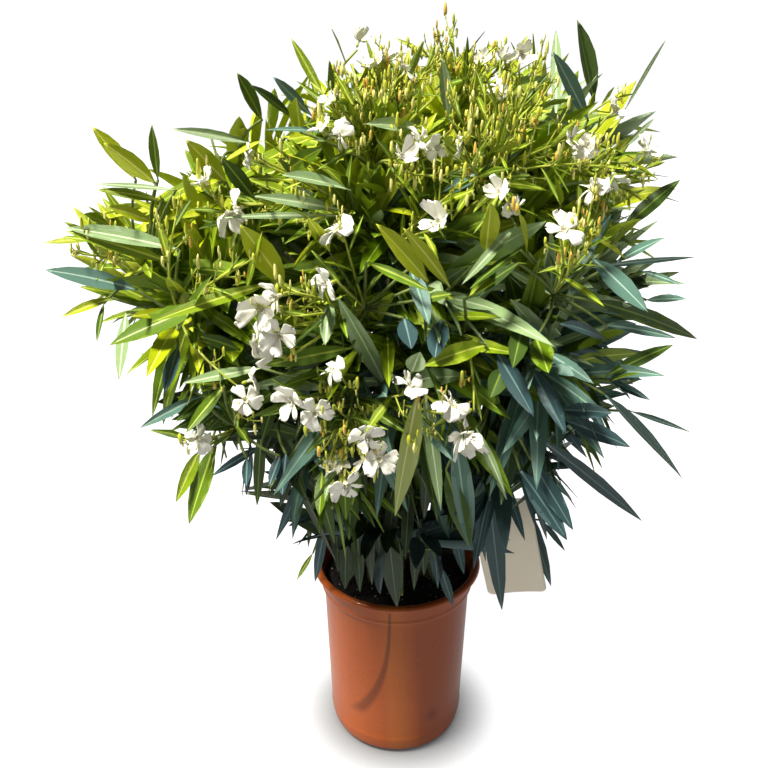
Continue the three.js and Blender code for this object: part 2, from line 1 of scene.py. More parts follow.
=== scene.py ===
# A white oleander in a terracotta-coloured nursery pot. The limbs and foliage grow by the same
# seeded rule as the solids, carried on to finer shoots, and the pot, soil, tag and blossom are
# worked out from named sizes. Sizes are in millimetres until a mesh is made, and angles in degrees.
import time
import bpy
import numpy as np
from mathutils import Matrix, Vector


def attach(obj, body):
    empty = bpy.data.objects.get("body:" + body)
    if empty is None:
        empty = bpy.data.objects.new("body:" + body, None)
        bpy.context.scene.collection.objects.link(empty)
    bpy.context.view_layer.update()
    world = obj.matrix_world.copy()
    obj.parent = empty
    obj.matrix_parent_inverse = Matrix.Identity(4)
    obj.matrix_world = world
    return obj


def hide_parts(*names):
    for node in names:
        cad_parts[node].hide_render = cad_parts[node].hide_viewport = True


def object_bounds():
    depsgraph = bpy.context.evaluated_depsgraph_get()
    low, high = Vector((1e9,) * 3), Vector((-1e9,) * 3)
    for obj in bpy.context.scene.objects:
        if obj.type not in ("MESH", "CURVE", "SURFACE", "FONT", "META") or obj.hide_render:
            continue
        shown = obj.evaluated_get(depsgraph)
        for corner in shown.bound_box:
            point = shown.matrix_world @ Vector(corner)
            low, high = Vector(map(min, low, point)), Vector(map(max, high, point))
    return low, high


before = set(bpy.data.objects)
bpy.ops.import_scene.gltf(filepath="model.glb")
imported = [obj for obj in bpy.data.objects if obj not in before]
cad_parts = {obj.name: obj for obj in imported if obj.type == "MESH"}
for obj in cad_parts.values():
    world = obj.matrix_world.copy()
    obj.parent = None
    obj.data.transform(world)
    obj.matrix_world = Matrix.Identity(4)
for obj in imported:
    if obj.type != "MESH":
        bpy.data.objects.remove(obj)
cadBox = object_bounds()
boxLow, boxHigh = (np.array(corner) * 1000 for corner in cadBox)
started = time.time()
up = np.array([0.0, 0.0, 1.0])
growthSeed = 20


# seconds since the start, and what has been made
def say(text):
    print(f"{time.time() - started:6.1f} s  {text}", flush=True)


# numbers, curves and directions

# whole-number keys are hashed one after another into a share of one
def draw(*keys):
    low = np.uint64(0xFFFFFFFF)
    value = np.uint64(growthSeed)
    for key in keys:
        value = ((value ^ np.asarray(key).astype(np.uint64)) * np.uint64(0x9E3779B1)) & low
        value = value ^ (value >> np.uint64(15))
        value = (value * np.uint64(0x85EBCA6B)) & low
        value = value ^ (value >> np.uint64(13))
    return value / 2.0**32


# low + share of the way to high
def between(low, high, share):
    return low + (high - low) * share


# vectors divided by their length
def unit(vectors):
    return vectors / np.maximum(np.linalg.norm(vectors, axis=-1, keepdims=True), 1e-9)


# dot product along the last axis, kept as a column
def dot(first, second):
    return np.sum(first * second, axis=-1, keepdims=True)


# direction from its angle round the trunk, from +X towards +Y, and its rise above level
def heading(azimuth, rise):
    turn, tilt = np.radians(azimuth), np.radians(rise)
    return np.stack([np.cos(tilt) * np.cos(turn), np.cos(tilt) * np.sin(turn), np.sin(tilt) + 0 * turn], -1)


# two directions square to the given one: the first square to Z too, or to X where it is steep
def across(direction):
    steep = np.abs(direction[..., 2:3]) > 0.9
    first = unit(np.cross(np.where(steep, [1.0, 0, 0], [0, 0, 1.0]), direction))
    return first, np.cross(direction, first)


# direction * cos(tilt) + (first * cos(turn) + second * sin(turn)) * sin(tilt)
def splayed(direction, tilt, turn):
    first, second = across(direction)
    tilt, turn = (np.radians(np.asarray(angle, float))[..., None] for angle in (tilt, turn))
    return direction * np.cos(tilt) + (first * np.cos(turn) + second * np.sin(turn)) * np.sin(tilt)


# cubic Bezier point at a share of the curve
def along(curve, share):
    t = np.asarray(share, float)[..., None]
    a, b, c, d = (curve[..., i, :] for i in range(4))
    return (1 - t) ** 3 * a + 3 * (1 - t) ** 2 * t * b + 3 * (1 - t) * t**2 * c + t**3 * d


# unit tangent of the same curve
def heads(curve, share):
    t = np.asarray(share, float)[..., None]
    a, b, c, d = (curve[..., i, :] for i in range(4))
    return unit((1 - t) ** 2 * (b - a) + 2 * (1 - t) * t * (c - b) + t**2 * (d - c))


# quadratic curve through three control points, raised to a cubic
def raised(start, middle, end):
    return np.stack([start, start + (middle - start) * 2 / 3, end + (middle - end) * 2 / 3, end], -2)


# parabola that sets out along way and is drawn aside by bend at its end
def growth(start, way, length, bend):
    length = np.asarray(length, float)[..., None]
    return raised(start, start + way * length / 2, start + way * length + bend)


# values of the same names that pass a test
def keep(values, mask):
    return {name: value[mask] for name, value in values.items()}


# values of the same names end to end
def joined(parts):
    return {name: np.concatenate([one[name] for one in parts]) for name in parts[0]}


# the view from the front, in which some places are given: millimetres, degrees and picture points
view = {
    "place": (-18.5, -1048.7, 1011.6), "down": 23.64, "focal": 866.0, "middle": 384.0,
    "margin": 8,        # millimetres that given places stay inside the solids' box at the front
    "heart": (390.0, 300.0),    # where the crown's reach in the view is counted from
    # that reach every 15 degrees, anticlockwise from the right; only chosen leaves and blossom pass it
    "reach": (250, 264, 280, 285, 270, 240, 217, 214, 210, 214, 240, 292, 262, 235, 225, 215, 215, 235, 265,
              255, 240, 240, 245, 245),
    "edge": 1.08,       # share of that reach at which they stop, and how much it changes with their stray
    "raggedness": 0.3,
    "nearest": 500,     # depths between which a line of sight is searched
    "farthest": 1500,
}


# the growing rule, as in the solids
rule = {
    "heart": (-26.0, 0.0, 655.0),
    "left": 418, "right": 358, "deep": 372, "high": 354, "roundness": 2.5, "stray": 0.13,
    "underside": 292, "slope": 0.84, "frontSlope": 0.36, "hang": 34, "lipRadius": 120,
    "soilTop": 252, "stemFoot": 258.3,
    "stems": 5, "stemTurn": 62, "stemStray": 21, "footRing": 40, "forkRing": 82, "forkHeight": 425,
    "middleFootRing": 6, "middleForkRing": 16, "middleForkHeight": 520, "heightStray": 36,
    "bow": 9, "sunk": 8,
    "gap": 0.3, "turnStray": 0.24, "riseStray": 9,
    "footRange": (0.8, 1.15), "forkRange": (0.85, 1.1),
    "forks": (0.36, 0.9),       # shares of a stem between which its boughs leave it,
    "along": (0.35, 1.3),       # and how much of the stem's own way each keeps
    "setOut": 0.36, "arrive": 0.3, "skirtRise": 20,
    # sway of a bough or height of a boughless mass's foot, where it isn't the first choice
    "sways": {"middle_1": 20, "middle_2": -20, "lower_2": 20, "lower_3": 20, "lower_4": -20, "lower_6": -20},
    "heights": {"skirt_1": 0.3, "skirt_2": 0.46, "skirt_3": 0.3, "skirt_4": 0.46, "skirt_5": 0.54},
}
tierSizes = ("count", "rise", "turn", "mouth", "reach", "lift", "droop", "bloom")
tiers = {
    "crest": dict(zip(tierSizes, (3, 62, 84, 118, 96, 0.25, 0.02, 0.5))),
    "upper": dict(zip(tierSizes, (6, 33, 30, 132, 94, 0.25, 0.06, 0.3))),
    "middle": dict(zip(tierSizes, (8, 4, 2, 150, 94, 0.15, 0.12, 0.2))),
    "lower": dict(zip(tierSizes, (6, -22, 10, 152, 68, 0.08, 0.16, 0.15))),
    "skirt": dict(zip(tierSizes, (5, -48, -10, 0, 68, 0.1, 0.2, 0.1))),
}
heart = np.array(rule["heart"])


# share of the crown's reach in a direction: its parts over the half sizes, in powers of the roundness
def crownShare(out, high):
    sideways = np.where(out[..., 0] < 0, rule["left"], rule["right"])
    parts = np.abs(np.stack([out[..., 0] / sideways, out[..., 1] / rule["deep"], out[..., 2] / high], -1))
    return (parts ** rule["roundness"]).sum(-1) ** (1 / rule["roundness"])


sightDepths = np.arange(view["nearest"], view["farthest"] + 1.0)


# point on the line of sight through a place in the view: where that line first comes within a share of
# the crown, or else passes nearest its heart, or where it reaches a given Y
def sighted(places, share, depth=None):
    tilt = np.radians(view["down"])
    ahead = np.array([0, np.cos(tilt), -np.sin(tilt)])
    over = np.array([0, np.sin(tilt), np.cos(tilt)])
    offset = (np.asarray(places, float) - view["middle"]) / view["focal"]
    way = ahead + offset[:, :1] * np.array([1.0, 0, 0]) - offset[:, 1:] * over
    points = np.array(view["place"]) + way[:, None] * sightDepths[None, :, None]
    if depth is None:
        within = crownShare(points - heart, rule["high"])
        reached = within < share
        hit = np.where(reached.any(1), reached.argmax(1), within.argmin(1))
    else:
        hit = np.abs(points[..., 1] - depth).argmin(1)
    return np.maximum(points[np.arange(len(places)), hit], [-np.inf, boxLow[1] + view["margin"], 0])


# share of the crown's reach in the view at which points appear
def viewShare(points):
    tilt = np.radians(view["down"])
    offset = points - np.array(view["place"])
    depth = offset[..., 1] * np.cos(tilt) - offset[..., 2] * np.sin(tilt)
    rise = offset[..., 1] * np.sin(tilt) + offset[..., 2] * np.cos(tilt)
    sideways = view["middle"] + view["focal"] * offset[..., 0] / depth - view["heart"][0]
    height = view["heart"][1] - view["middle"] + view["focal"] * rise / depth
    bearing = np.degrees(np.arctan2(height, sideways)) % 360
    reaches = [*view["reach"], view["reach"][0]]
    reach = np.interp(bearing, np.linspace(0, 360, len(reaches)), reaches)
    return np.hypot(sideways, height) / reach


# stem lines: a foot in the soil, a fork further out, and a waist between them bowed inwards
def stemCurves():
    index = np.arange(rule["stems"] + 1)
    middle = index == rule["stems"]
    foot = rule["footRing"] * between(*rule["footRange"], draw(index, 2))
    foot = np.where(middle, rule["middleFootRing"], foot)
    fork = rule["forkRing"] * between(*rule["forkRange"], draw(index, 3))
    fork = np.where(middle, rule["middleForkRing"], fork)
    height = np.where(middle, rule["middleForkHeight"], rule["forkHeight"])
    height = height + rule["heightStray"] * (draw(index, 4) - 0.5)
    turn = rule["stemTurn"] + 360 / rule["stems"] * index + rule["stemStray"] * (draw(index, 1) - 0.5)
    outward = heading(turn, 0)
    start = outward * foot[:, None] + up * (rule["stemFoot"] - rule["sunk"])
    end = outward * fork[:, None] + up * height[:, None]
    return raised(start, (start + end) / 2 - outward * rule["bow"], end)


# masses round the crown's heart, tier by tier, each with the stem that stands nearest its azimuth
def crownMasses(stems):
    masses = []
    tips = along(stems, 1)[: rule["stems"]]
    for tierName, tier in tiers.items():
        for i in range(tier["count"]):
            index = len(masses)
            azimuth = tier["turn"] + 360 / tier["count"] * (i + rule["turnStray"] * (draw(index, 11) - 0.5))
            axis = heading(azimuth, tier["rise"] + rule["riseStray"] * (draw(index, 12) - 0.5))
            nearness = np.cos(np.arctan2(tips[:, 1], tips[:, 0]) - np.radians(azimuth))
            stem = rule["stems"] if tierName == "crest" else int(np.argmax(nearness))
            scale = 1 / crownShare(axis, rule["high"]) / rule["deep"]
            masses.append({**tier, "mouth": tier["mouth"] * scale, "reach": tier["reach"] * scale,
                           "name": f"{tierName}_{i + 1}", "azimuth": azimuth, "axis": axis, "stem": stem})
    for stem in range(rule["stems"] + 1):
        carried = sorted((m for m in masses if m["stem"] == stem and m["mouth"]), key=lambda m: m["axis"][2])
        for order, mass in enumerate(carried):
            mass["rank"] = order / max(1, len(carried) - 1)
            mass["leader"] = order == len(carried) - 1
    return masses


# bough line: sets out along its stem's tangent, or aside from it, and arrives the way its mass grows
def boughCurve(mass, stems):
    line = stems[mass["stem"]]
    share = 1 if mass["leader"] else between(*rule["forks"], mass["rank"])
    tangent, start = heads(line, share), along(line, share)
    setOut = tangent
    if mass["leader"]:
        start = start + tangent * rule["gap"]
    else:
        sway = rule["sways"].get(mass["name"], 0)
        setOut = unit(tangent * between(*rule["along"], mass["rank"]) + heading(mass["azimuth"] + sway, 0))
    mouth = heart + mass["axis"] * mass["mouth"]
    span = np.linalg.norm(mouth - start)
    arrive = unit(mass["axis"] + up * mass["lift"])
    leaves, arrives = setOut * span * rule["setOut"], arrive * span * rule["arrive"]
    return np.stack([start, start + leaves, mouth - arrives, mouth])


# main shoot: straight on from the bough's tip, or outwards from the side of a stem
def mainCurve(mass, stems):
    reach = mass["reach"]
    if mass["mouth"]:
        tangent = heads(mass["bough"], 1)
        start = along(mass["bough"], 1) + tangent * rule["gap"]
        return growth(start, tangent, reach, up * reach * mass["lift"] * 0.4)
    start = along(stems[mass["stem"]], rule["heights"][mass["name"]])
    return growth(start, heading(mass["azimuth"], rule["skirtRise"]), reach, -up * reach * 0.1)


stems = stemCurves()
masses = crownMasses(stems)
for mass in masses:
    if mass["mouth"]:
        mass["bough"] = boughCurve(mass, stems)
    mass["main"] = mainCurve(mass, stems)
boughs = np.stack([mass["bough"] for mass in masses if mass["mouth"]])
boughNames = ["bough_" + mass["name"] for mass in masses if mass["mouth"]]
foliageNodes = ["foliage_" + mass["name"] for mass in masses]
massValue = {key: np.array([mass[key] for mass in masses]) for key in ("lift", "droop", "bloom", "mouth")}
massAxis = np.stack([mass["axis"] for mass in masses])
massLean = unit(massAxis + up * 0.5)

# each kind of shoot: its orders and the shares of its parent that it leaves from, the shares of its whorls,
# how many of these the solids have too, its radius at the foot and at the tip, and how far it may pass into
# the next mass's space
shootKinds = {
    "main": {"whorls": (0.95, 0.6, 0.76, 0.42), "solidWhorls": 2, "radii": (2.8, 1.7)},
    "side": {"orders": (1, 2, 3, 4), "leaves": (0.3, 0.38, 0.46, 0.54), "turn": 90, "length": 82,
             "spread": 48, "whorls": (0.92, 0.62, 0.32), "solidWhorls": 3, "radii": (2.1, 1.6), "spill": 8},
    "late": {"orders": (5, 6, 7), "leaves": (0.62, 0.7, 0.78), "turn": 120, "length": 66, "spread": 44,
             "whorls": (0.98, 0.62, 0.32), "solidWhorls": 0, "radii": (2.0, 1.5), "spill": 8},
    "fine": {"orders": (10, 20, 30), "leaves": (0.4, 0.66, 0.22), "turn": 120, "length": 60, "spread": 44,
             "whorls": (0.98, 0.66, 0.36), "solidWhorls": 0, "radii": (1.6, 1.2), "spill": 16},
    "inner": {"orders": tuple(range(41, 53)), "leaves": tuple(0.06 + 0.08 * i for i in range(12)), "turn": 77,
              "length": 86, "spread": 74, "whorls": (0.98, 0.68, 0.38), "solidWhorls": 0, "radii": (2.0, 1.5),
              "spill": 60, "from": 0.86, "back": 0.5},
}
shootStray = {"turn": 60, "range": (0.85, 1.15)}


# shoots that turn off round their parents, one above the other, and rise or sag by their tier
def sideShoots(parents, kind):
    values = shootKinds[kind]
    made = []
    mass = parents["mass"]
    for order, share in zip(values["orders"], values["leaves"]):
        key = order + parents["order"]
        turn = values["turn"] * key + shootStray["turn"] * draw(mass, 21)
        spread = values["spread"] * between(*shootStray["range"], draw(mass, key, 22))
        length = values["length"] * between(*shootStray["range"], draw(mass, key, 23))
        way = splayed(heads(parents["curve"], share), spread, turn)
        rise = massValue["lift"][mass] - 0.25 * massValue["droop"][mass]
        curve = growth(along(parents["curve"], share), way, length, up * (length * rise)[:, None])
        made.append({"curve": curve, "mass": mass, "order": key})
    return joined(made)


# room: a mass's own space, the crown's underside, its limbs, its tag and the solids' box
room = {
    "spill": 34,        # how far a leaf may pass into the next mass's space
    "limbClear": 2.0,
    "tagCentre": (138.0, -118.0, 381.0), "tagClear": 62,
    "boxSpill": 12,
    "levelStray": 0.6, "viewStray": 0.9, "viewRange": (-0.5, 0.3),
    "mostHang": 1.6,    # times the rule's hang, beyond this ring round the lip
    "hangRing": 15,
    "batch": 4000,      # points measured against the limbs at once
}
limbRadius = {"stem": (8.2, 5.2), "bough": (3.8, 2.8)}     # at the foot and at the tip
apart = unit(massAxis[:, None] - massAxis[None] + 1e-12)


# points along limbs, and the limb's radius at each
def limbSamples(curves, kind, count):
    shares = np.linspace(0, 1, count)
    points = along(curves[:, None], shares[None]).reshape(-1, 3)
    return points, np.tile(between(*limbRadius[kind], shares), len(curves))


limbParts = limbSamples(stems, "stem", 24), limbSamples(boughs, "bough", 20)
limbPoints, limbRadii = (np.concatenate(part) for part in zip(*limbParts))


# least distance past a mass's bounding planes, over sample points
def ownSpace(points, mass):
    reach = np.einsum("npc,noc->npo", points - heart, apart[mass])
    np.put_along_axis(reach, np.broadcast_to(mass[:, None, None], reach.shape[:2] + (1,)), np.inf, 2)
    return reach.min((1, 2))


# true where sample points of a leaf or shoot lie inside the room there is for it: a rounded crown, wider
# to one side, over an underside that rises outwards
def hasRoom(points, mass, spill, stray):
    ring = np.hypot(points[..., 0], points[..., 1])
    slope = rule["slope"] + rule["frontSlope"] * np.maximum(0, -points[..., 1] / np.maximum(ring, 1))
    beyond = np.maximum(0, ring - rule["lipRadius"])
    hang = rule["hang"] * np.clip(stray * 4 - 3, 0, room["mostHang"])[:, None] * (beyond > room["hangRing"])
    free = (points[..., 2] > rule["underside"] + slope * beyond - hang).all(1)
    free &= ownSpace(points, mass) > -spill
    out = points - heart
    high = np.where(out[..., 2] > 0, rule["high"], np.inf)
    free &= (crownShare(out, high) < 1 + rule["stray"] * (stray - room["levelStray"])[:, None]).all(1)
    ragged = view["raggedness"] * np.clip(stray - room["viewStray"], *room["viewRange"])
    free &= (viewShare(points) < view["edge"] + ragged[:, None]).all(1)
    margin = room["boxSpill"]
    free &= ((points > boxLow - margin) & (points < boxHigh + margin)).all((1, 2))
    free &= (np.linalg.norm(points - np.array(room["tagCentre"]), axis=-1) > room["tagClear"]).all(1)
    return free


# true where no sample point comes within a limb's radius and the clearance
def missesLimbs(points):
    flat = points.reshape(-1, 3)
    near = np.empty(len(flat), bool)
    for first in range(0, len(flat), room["batch"]):
        part = slice(first, first + room["batch"])
        distance = np.linalg.norm(flat[part, None] - limbPoints[None], axis=-1) - limbRadii
        near[part] = distance.min(1) < room["limbClear"]
    return ~near.reshape(points.shape[:2]).any(1)


# shoots
samples = np.linspace(0.25, 1, 5)
sprayReach = {"spread": 2.3, "middle": 0.66, "leaf": 0.8, "level": 0.6}
mains = {"curve": np.stack([mass["main"] for mass in masses]), "mass": np.arange(len(masses)),
         "order": np.zeros(len(masses), int)}


# how far a spray may stand out of the crown, as a stray: few reach beyond it and many stop short
def sprayStray(mass, order):
    return sprayReach["level"] + sprayReach["spread"] * (draw(mass, order, 38) - sprayReach["middle"])


# shoots that have room and miss the limbs beyond their own foot
def roomy(shoots, kind):
    points = along(shoots["curve"][:, None], samples[None])
    stray = sprayStray(shoots["mass"], shoots["order"])
    free = hasRoom(points, shoots["mass"], shootKinds[kind]["spill"], stray)
    return keep(shoots, free & missesLimbs(points[:, 1:]))


# shoots that turn back into the crown, on the masses whose main shoot comes near its reach in the view
def innerShoots():
    values = shootKinds["inner"]
    shoots = sideShoots(keep(mains, viewShare(along(mains["curve"], 1)) > values["from"]), "inner")
    curve = shoots["curve"]
    length = np.linalg.norm(curve[:, 3] - curve[:, 0], axis=1)[:, None]
    way = unit(curve[:, 1] - curve[:, 0]) + unit(heart - curve[:, 0]) * values["back"]
    return {**shoots, "curve": growth(curve[:, 0], unit(way), length[:, 0], up * length * 0.15)}


allShoots = {"main": mains}
for kind in ("side", "late"):
    allShoots[kind] = roomy(sideShoots(mains, kind), kind)
allShoots["fine"] = roomy(sideShoots(joined([allShoots["side"], allShoots["late"]]), "fine"), "fine")
allShoots["inner"] = roomy(innerShoots(), "inner")
say(", ".join(f"{len(shoots['mass'])} {kind}" for kind, shoots in allShoots.items()) + " shoots")

# leaves
leaf = {
    "length": 144, "shortest": 0.62, "longest": 1.14, "slenderness": 6.7, "thickness": 1.0,
    "wideAngle": 68, "tipAngle": 27, "angleStray": 34, "arch": 0.12, "archStray": 0.16,
    "youngShare": 0.85, "young": 0.72,   # leaves past this share of a shoot are young and shorter
    "leans": (0, 0.3, -0.25, 0.6, 1), "inwardLeans": (0.4, 0.9),   # towards the mass's middle, or the crown's
    "tested": (0.3, 0.5, 0.7, 0.86, 1.0), "turnStray": 50,
    "hangs": (0.5, 1.3), "slender": (0.86, 1.35),
    "faceUp": 0.5,      # how far a leaf's upper side turns to the sky
    "faceStray": 0.5,
}


# whorls of three: wide open low on a shoot and closing up at its tip, with hanging and arching leaves
def whorls(shoots, values):
    made = []
    mass, order = shoots["mass"], shoots["order"]
    for number, share in enumerate(values["whorls"]):
        root, tangent = along(shoots["curve"], share), heads(shoots["curve"], share)
        for i in range(3):
            key = (mass, order, number, i)
            turn = 120 * i + 60 * number + leaf["turnStray"] * draw(mass, order, number, 31)
            tilt = between(leaf["wideAngle"], leaf["tipAngle"], share)
            tilt = tilt + leaf["angleStray"] * (draw(*key, 32) - 0.5)
            hang = massValue["droop"][mass] * between(*leaf["hangs"], draw(*key, 33))
            way = unit(splayed(tangent, tilt, turn) - up * hang[:, None])
            length = leaf["length"] * between(leaf["shortest"], leaf["longest"], draw(*key, 34))
            if number >= values["solidWhorls"] and share > leaf["youngShare"]:
                length = length * leaf["young"]
            arch = leaf["arch"] + leaf["archStray"] * (draw(*key, 35) - 0.5) + 0.1 * massValue["droop"][mass]
            slender = leaf["slenderness"] * between(*leaf["slender"], draw(*key, 39) ** 1.5)
            stray = sprayStray(mass, order) + sprayReach["leaf"] * (draw(*key, 36) - 0.5)
            made.append({"root": root, "tangent": tangent, "way": way, "length": length, "arch": arch,
                         "mass": mass, "spray": mass * 1000 + order * 10, "draw": draw(*key, 36),
                         "twist": draw(*key, 37) - 0.5, "stray": stray, "slender": slender,
                         "tint": np.full(len(mass), -1)})
    return joined(made)


# a leaf's middle line: straight on from its root, drawn down by the square of the share
def leafLine(leaves, way, shares):
    run = leaves["length"][:, None, None] * shares[None, :, None]
    drop = (leaves["length"] * leaves["arch"])[:, None, None] * shares[None, :, None] ** 2
    return leaves["root"][:, None] + way[:, None] * run - up * drop


# leaves lean towards their mass's middle until they have room, and those that never have it are left out
def fitted(leaves):
    shares = np.array(leaf["tested"])
    done = np.zeros(len(leaves["length"]), bool)
    way = leaves["way"].copy()
    onBough = massValue["mouth"][leaves["mass"]] > 0
    tries = [(massLean[leaves["mass"]] * lean, True) for lean in leaf["leans"]]
    tries += [(unit(heart - leaves["root"]) * lean, onBough) for lean in leaf["inwardLeans"]]
    for lean, allowed in tries:
        turned = unit(leaves["way"] + lean)
        points = leafLine(leaves, turned, shares)
        free = hasRoom(points, leaves["mass"], room["spill"], leaves["stray"]) & missesLimbs(points)
        free &= allowed & ~done
        way[free] = turned[free]
        done |= free
    leaves["way"] = way
    return keep(leaves, done)


leaves = fitted(joined([whorls(shoots, shootKinds[kind]) for kind, shoots in allShoots.items()]))

# single leaves that stand out at the front: foot and tip in the view, and width, by tint; the tints are
# painted sun, shade and sky sheen on one leaf green
standing = {
    "sunny": [
        (136, 180, 92, 127, 17), (156, 184, 104, 143, 17), (112, 298, 62, 317, 9), (98, 238, 44, 243, 8),
        (152, 222, 107, 207, 12), (226, 182, 186, 140, 18), (300, 132, 296, 98, 16),
        (285, 286, 240, 225, 24), (450, 287, 403, 228, 14), (428, 282, 376, 224, 20),
        (486, 252, 491, 203, 20), (527, 252, 519, 214, 16), (452, 212, 450, 190, 12),
        (222, 162, 262, 141, 13), (330, 252, 308, 218, 12),
    ],
    "yellowish": [
        (162, 201, 97, 190, 10), (200, 450, 176, 502, 13), (270, 284, 152, 322, 12),
        (110, 226, 84, 214, 11), (486, 345, 425, 374, 18), (324, 98, 291, 38, 9),
        (168, 262, 66, 231, 14), (560, 205, 555, 176, 14), (512, 260, 470, 297, 14),
        (246, 290, 262, 232, 12),
    ],
    "fresh": [
        (206, 304, 110, 345, 23), (214, 446, 189, 524, 20), (158, 180, 152, 125, 11),
        (262, 120, 237, 73, 17), (224, 386, 185, 435, 12), (322, 472, 318, 526, 12),
        (536, 338, 549, 374, 21), (366, 262, 430, 293, 9), (288, 170, 322, 148, 14),
        (610, 381, 640, 373, 9), (352, 348, 262, 372, 15), (575, 132, 545, 114, 13),
        (420, 300, 452, 296, 9), (178, 330, 212, 276, 12),
    ],
    "plain": [
        (594, 102, 577, 20, 25), (292, 117, 250, 85, 11), (254, 198, 222, 158, 15),
        (104, 303, 97, 342, 7), (202, 398, 175, 422, 9), (603, 173, 645, 173, 11),
        (606, 157, 643, 154, 9), (620, 232, 680, 180, 15), (588, 300, 697, 339, 17),
        (606, 376, 673, 345, 13), (524, 322, 514, 372, 18), (503, 368, 492, 405, 18),
        (240, 350, 200, 338, 12), (520, 250, 470, 290, 9), (464, 300, 520, 262, 12),
    ],
    "dusk": [
        (178, 346, 165, 393, 15), (247, 458, 244, 494, 9), (280, 456, 267, 495, 9),
        (606, 340, 560, 324, 14), (496, 352, 535, 420, 18), (530, 366, 566, 435, 18),
        (562, 410, 612, 413, 15), (564, 420, 630, 447, 17), (536, 436, 642, 521, 16),
        (531, 460, 573, 530, 17), (520, 470, 567, 540, 20), (610, 380, 650, 400, 8),
        (286, 454, 280, 505, 16), (441, 320, 436, 366, 20), (404, 318, 412, 356, 18),
    ],
    "blueish": [
        (138, 290, 45, 270, 17), (312, 116, 273, 77, 13), (588, 120, 553, 52, 17),
        (616, 262, 664, 238, 13), (592, 258, 648, 312, 20), (646, 300, 686, 299, 10),
        (606, 325, 676, 338, 9), (604, 394, 682, 478, 20), (630, 411, 690, 432, 8),
        (202, 396, 140, 428, 10), (640, 271, 680, 285, 6), (590, 268, 696, 257, 6),
        (410, 268, 430, 330, 16), (545, 352, 594, 384, 12), (330, 132, 266, 130, 12),
    ],
    # painted sky sheen on leaves that face the sky
    "sky_sheen": [
        (180, 250, 66, 228, 17), (176, 190, 97, 184, 8), (250, 143, 172, 129, 9),
        (556, 118, 556, 30, 12), (350, 190, 282, 175, 18), (340, 210, 254, 196, 12),
        (262, 368, 182, 385, 12), (126, 312, 119, 380, 13), (448, 118, 442, 58, 12),
        (424, 130, 366, 124, 14), (476, 428, 507, 500, 8), (624, 112, 667, 38, 4),
        (622, 150, 655, 118, 6), (330, 300, 324, 352, 14), (516, 226, 462, 285, 9),
        (342, 216, 220, 218, 6),
    ],
}
# leaves that hang over the front of the pot, with the Y they hang at, by tint; the tints are painted sun,
# shade and sky sheen on one leaf green
hanging = {
    "pale": [
        (418, 392, 395, 516, 24, -352),
    ],
    # painted sky sheen on hanging leaves
    "sky_sheen": [
        (424, 390, 441, 511, 13, -345), (412, 372, 420, 352, 18, -350), (478, 436, 507, 500, 8, -320),
    ],
    "fresh": [
        (313, 553, 297, 580, 7, -60), (362, 452, 352, 506, 10, -300), (344, 470, 346, 520, 13, -300),
        (318, 470, 322, 520, 10, -220),
    ],
    "plain": [
        (262, 425, 257, 506, 14, -200), (250, 380, 176, 422, 11, -230), (252, 384, 192, 432, 11, -240),
        (262, 392, 236, 446, 12, -240), (246, 396, 208, 430, 11, -240), (276, 396, 262, 440, 13, -250),
        (446, 470, 470, 549, 22, -300), (352, 476, 349, 540, 18, -270), (330, 440, 312, 512, 12, -230),
    ],
    "blueish": [
        (454, 430, 470, 549, 22, -300), (432, 498, 450, 540, 15, -150), (520, 452, 572, 500, 11, -180),
    ],
    "dusk": [
        (488, 488, 502, 610, 22, -200), (524, 502, 551, 586, 18, -110), (540, 520, 565, 551, 10, -90),
        (528, 470, 547, 540, 12, -150), (326, 520, 315, 582, 14, -80), (318, 452, 276, 540, 16, -150),
        (262, 446, 212, 476, 11, -190), (296, 440, 280, 507, 13, -180), (252, 450, 246, 496, 8, -180),
        (432, 515, 438, 588, 15, -120), (450, 520, 464, 574, 15, -125), (440, 566, 453, 606, 13, -125),
        (520, 440, 560, 478, 13, -170), (510, 430, 534, 500, 13, -190), (474, 470, 480, 540, 15, -150),
    ],
    # painted shade on the leaves that hang under the crown over the pot
    "shaded": [
        (386, 515, 397, 607, 28, -150), (346, 540, 345, 589, 18, -130), (366, 500, 372, 585, 16, -120),
        (420, 510, 424, 575, 18, -125), (335, 500, 338, 572, 17, -115), (356, 505, 360, 592, 18, -125),
        (376, 490, 380, 562, 16, -130), (418, 505, 414, 590, 16, -110), (404, 520, 420, 572, 14, -90),
        (370, 530, 350, 580, 13, -70), (400, 430, 376, 505, 17, -190), (430, 440, 424, 520, 16, -170),
    ],
    "deep": [
        (410, 480, 405, 560, 16, -140), (342, 478, 320, 530, 14, -120), (398, 470, 388, 548, 17, -150),
        (356, 440, 342, 512, 16, -170), (300, 470, 296, 530, 15, -90), (316, 470, 308, 548, 14, -60),
        (452, 450, 462, 530, 16, -160), (384, 450, 366, 528, 16, -150), (340, 430, 330, 500, 14, -150),
        (472, 440, 482, 508, 14, -190), (410, 450, 416, 530, 16, -80), (440, 470, 432, 545, 15, -70),
        (380, 470, 392, 545, 15, -60), (350, 465, 344, 540, 14, -50), (456, 480, 470, 550, 14, -60),
        (324, 460, 322, 520, 14, -30), (426, 530, 434, 585, 13, -60), (322, 418, 272, 452, 16, -210),
        (312, 400, 256, 426, 15, -240), (300, 425, 282, 505, 18, -200), (312, 430, 303, 492, 17, -190),
        (326, 436, 318, 500, 16, -190), (290, 420, 290, 478, 15, -210), (330, 410, 300, 448, 16, -240),
        (284, 410, 262, 456, 14, -230), (350, 400, 326, 450, 15, -240), (300, 450, 268, 496, 9, -170),
    ],
}


# how given leaves stand: the crown's share at foot and tip, and how far a hanging tip comes forward
givenStance = {"foot": 0.9, "tip": 1.02, "forward": 6, "arches": (0.02, 0.1), "facing": (0, -0.8, 0.3),
               "facingStray": 0.5, "firstSpray": 90000}


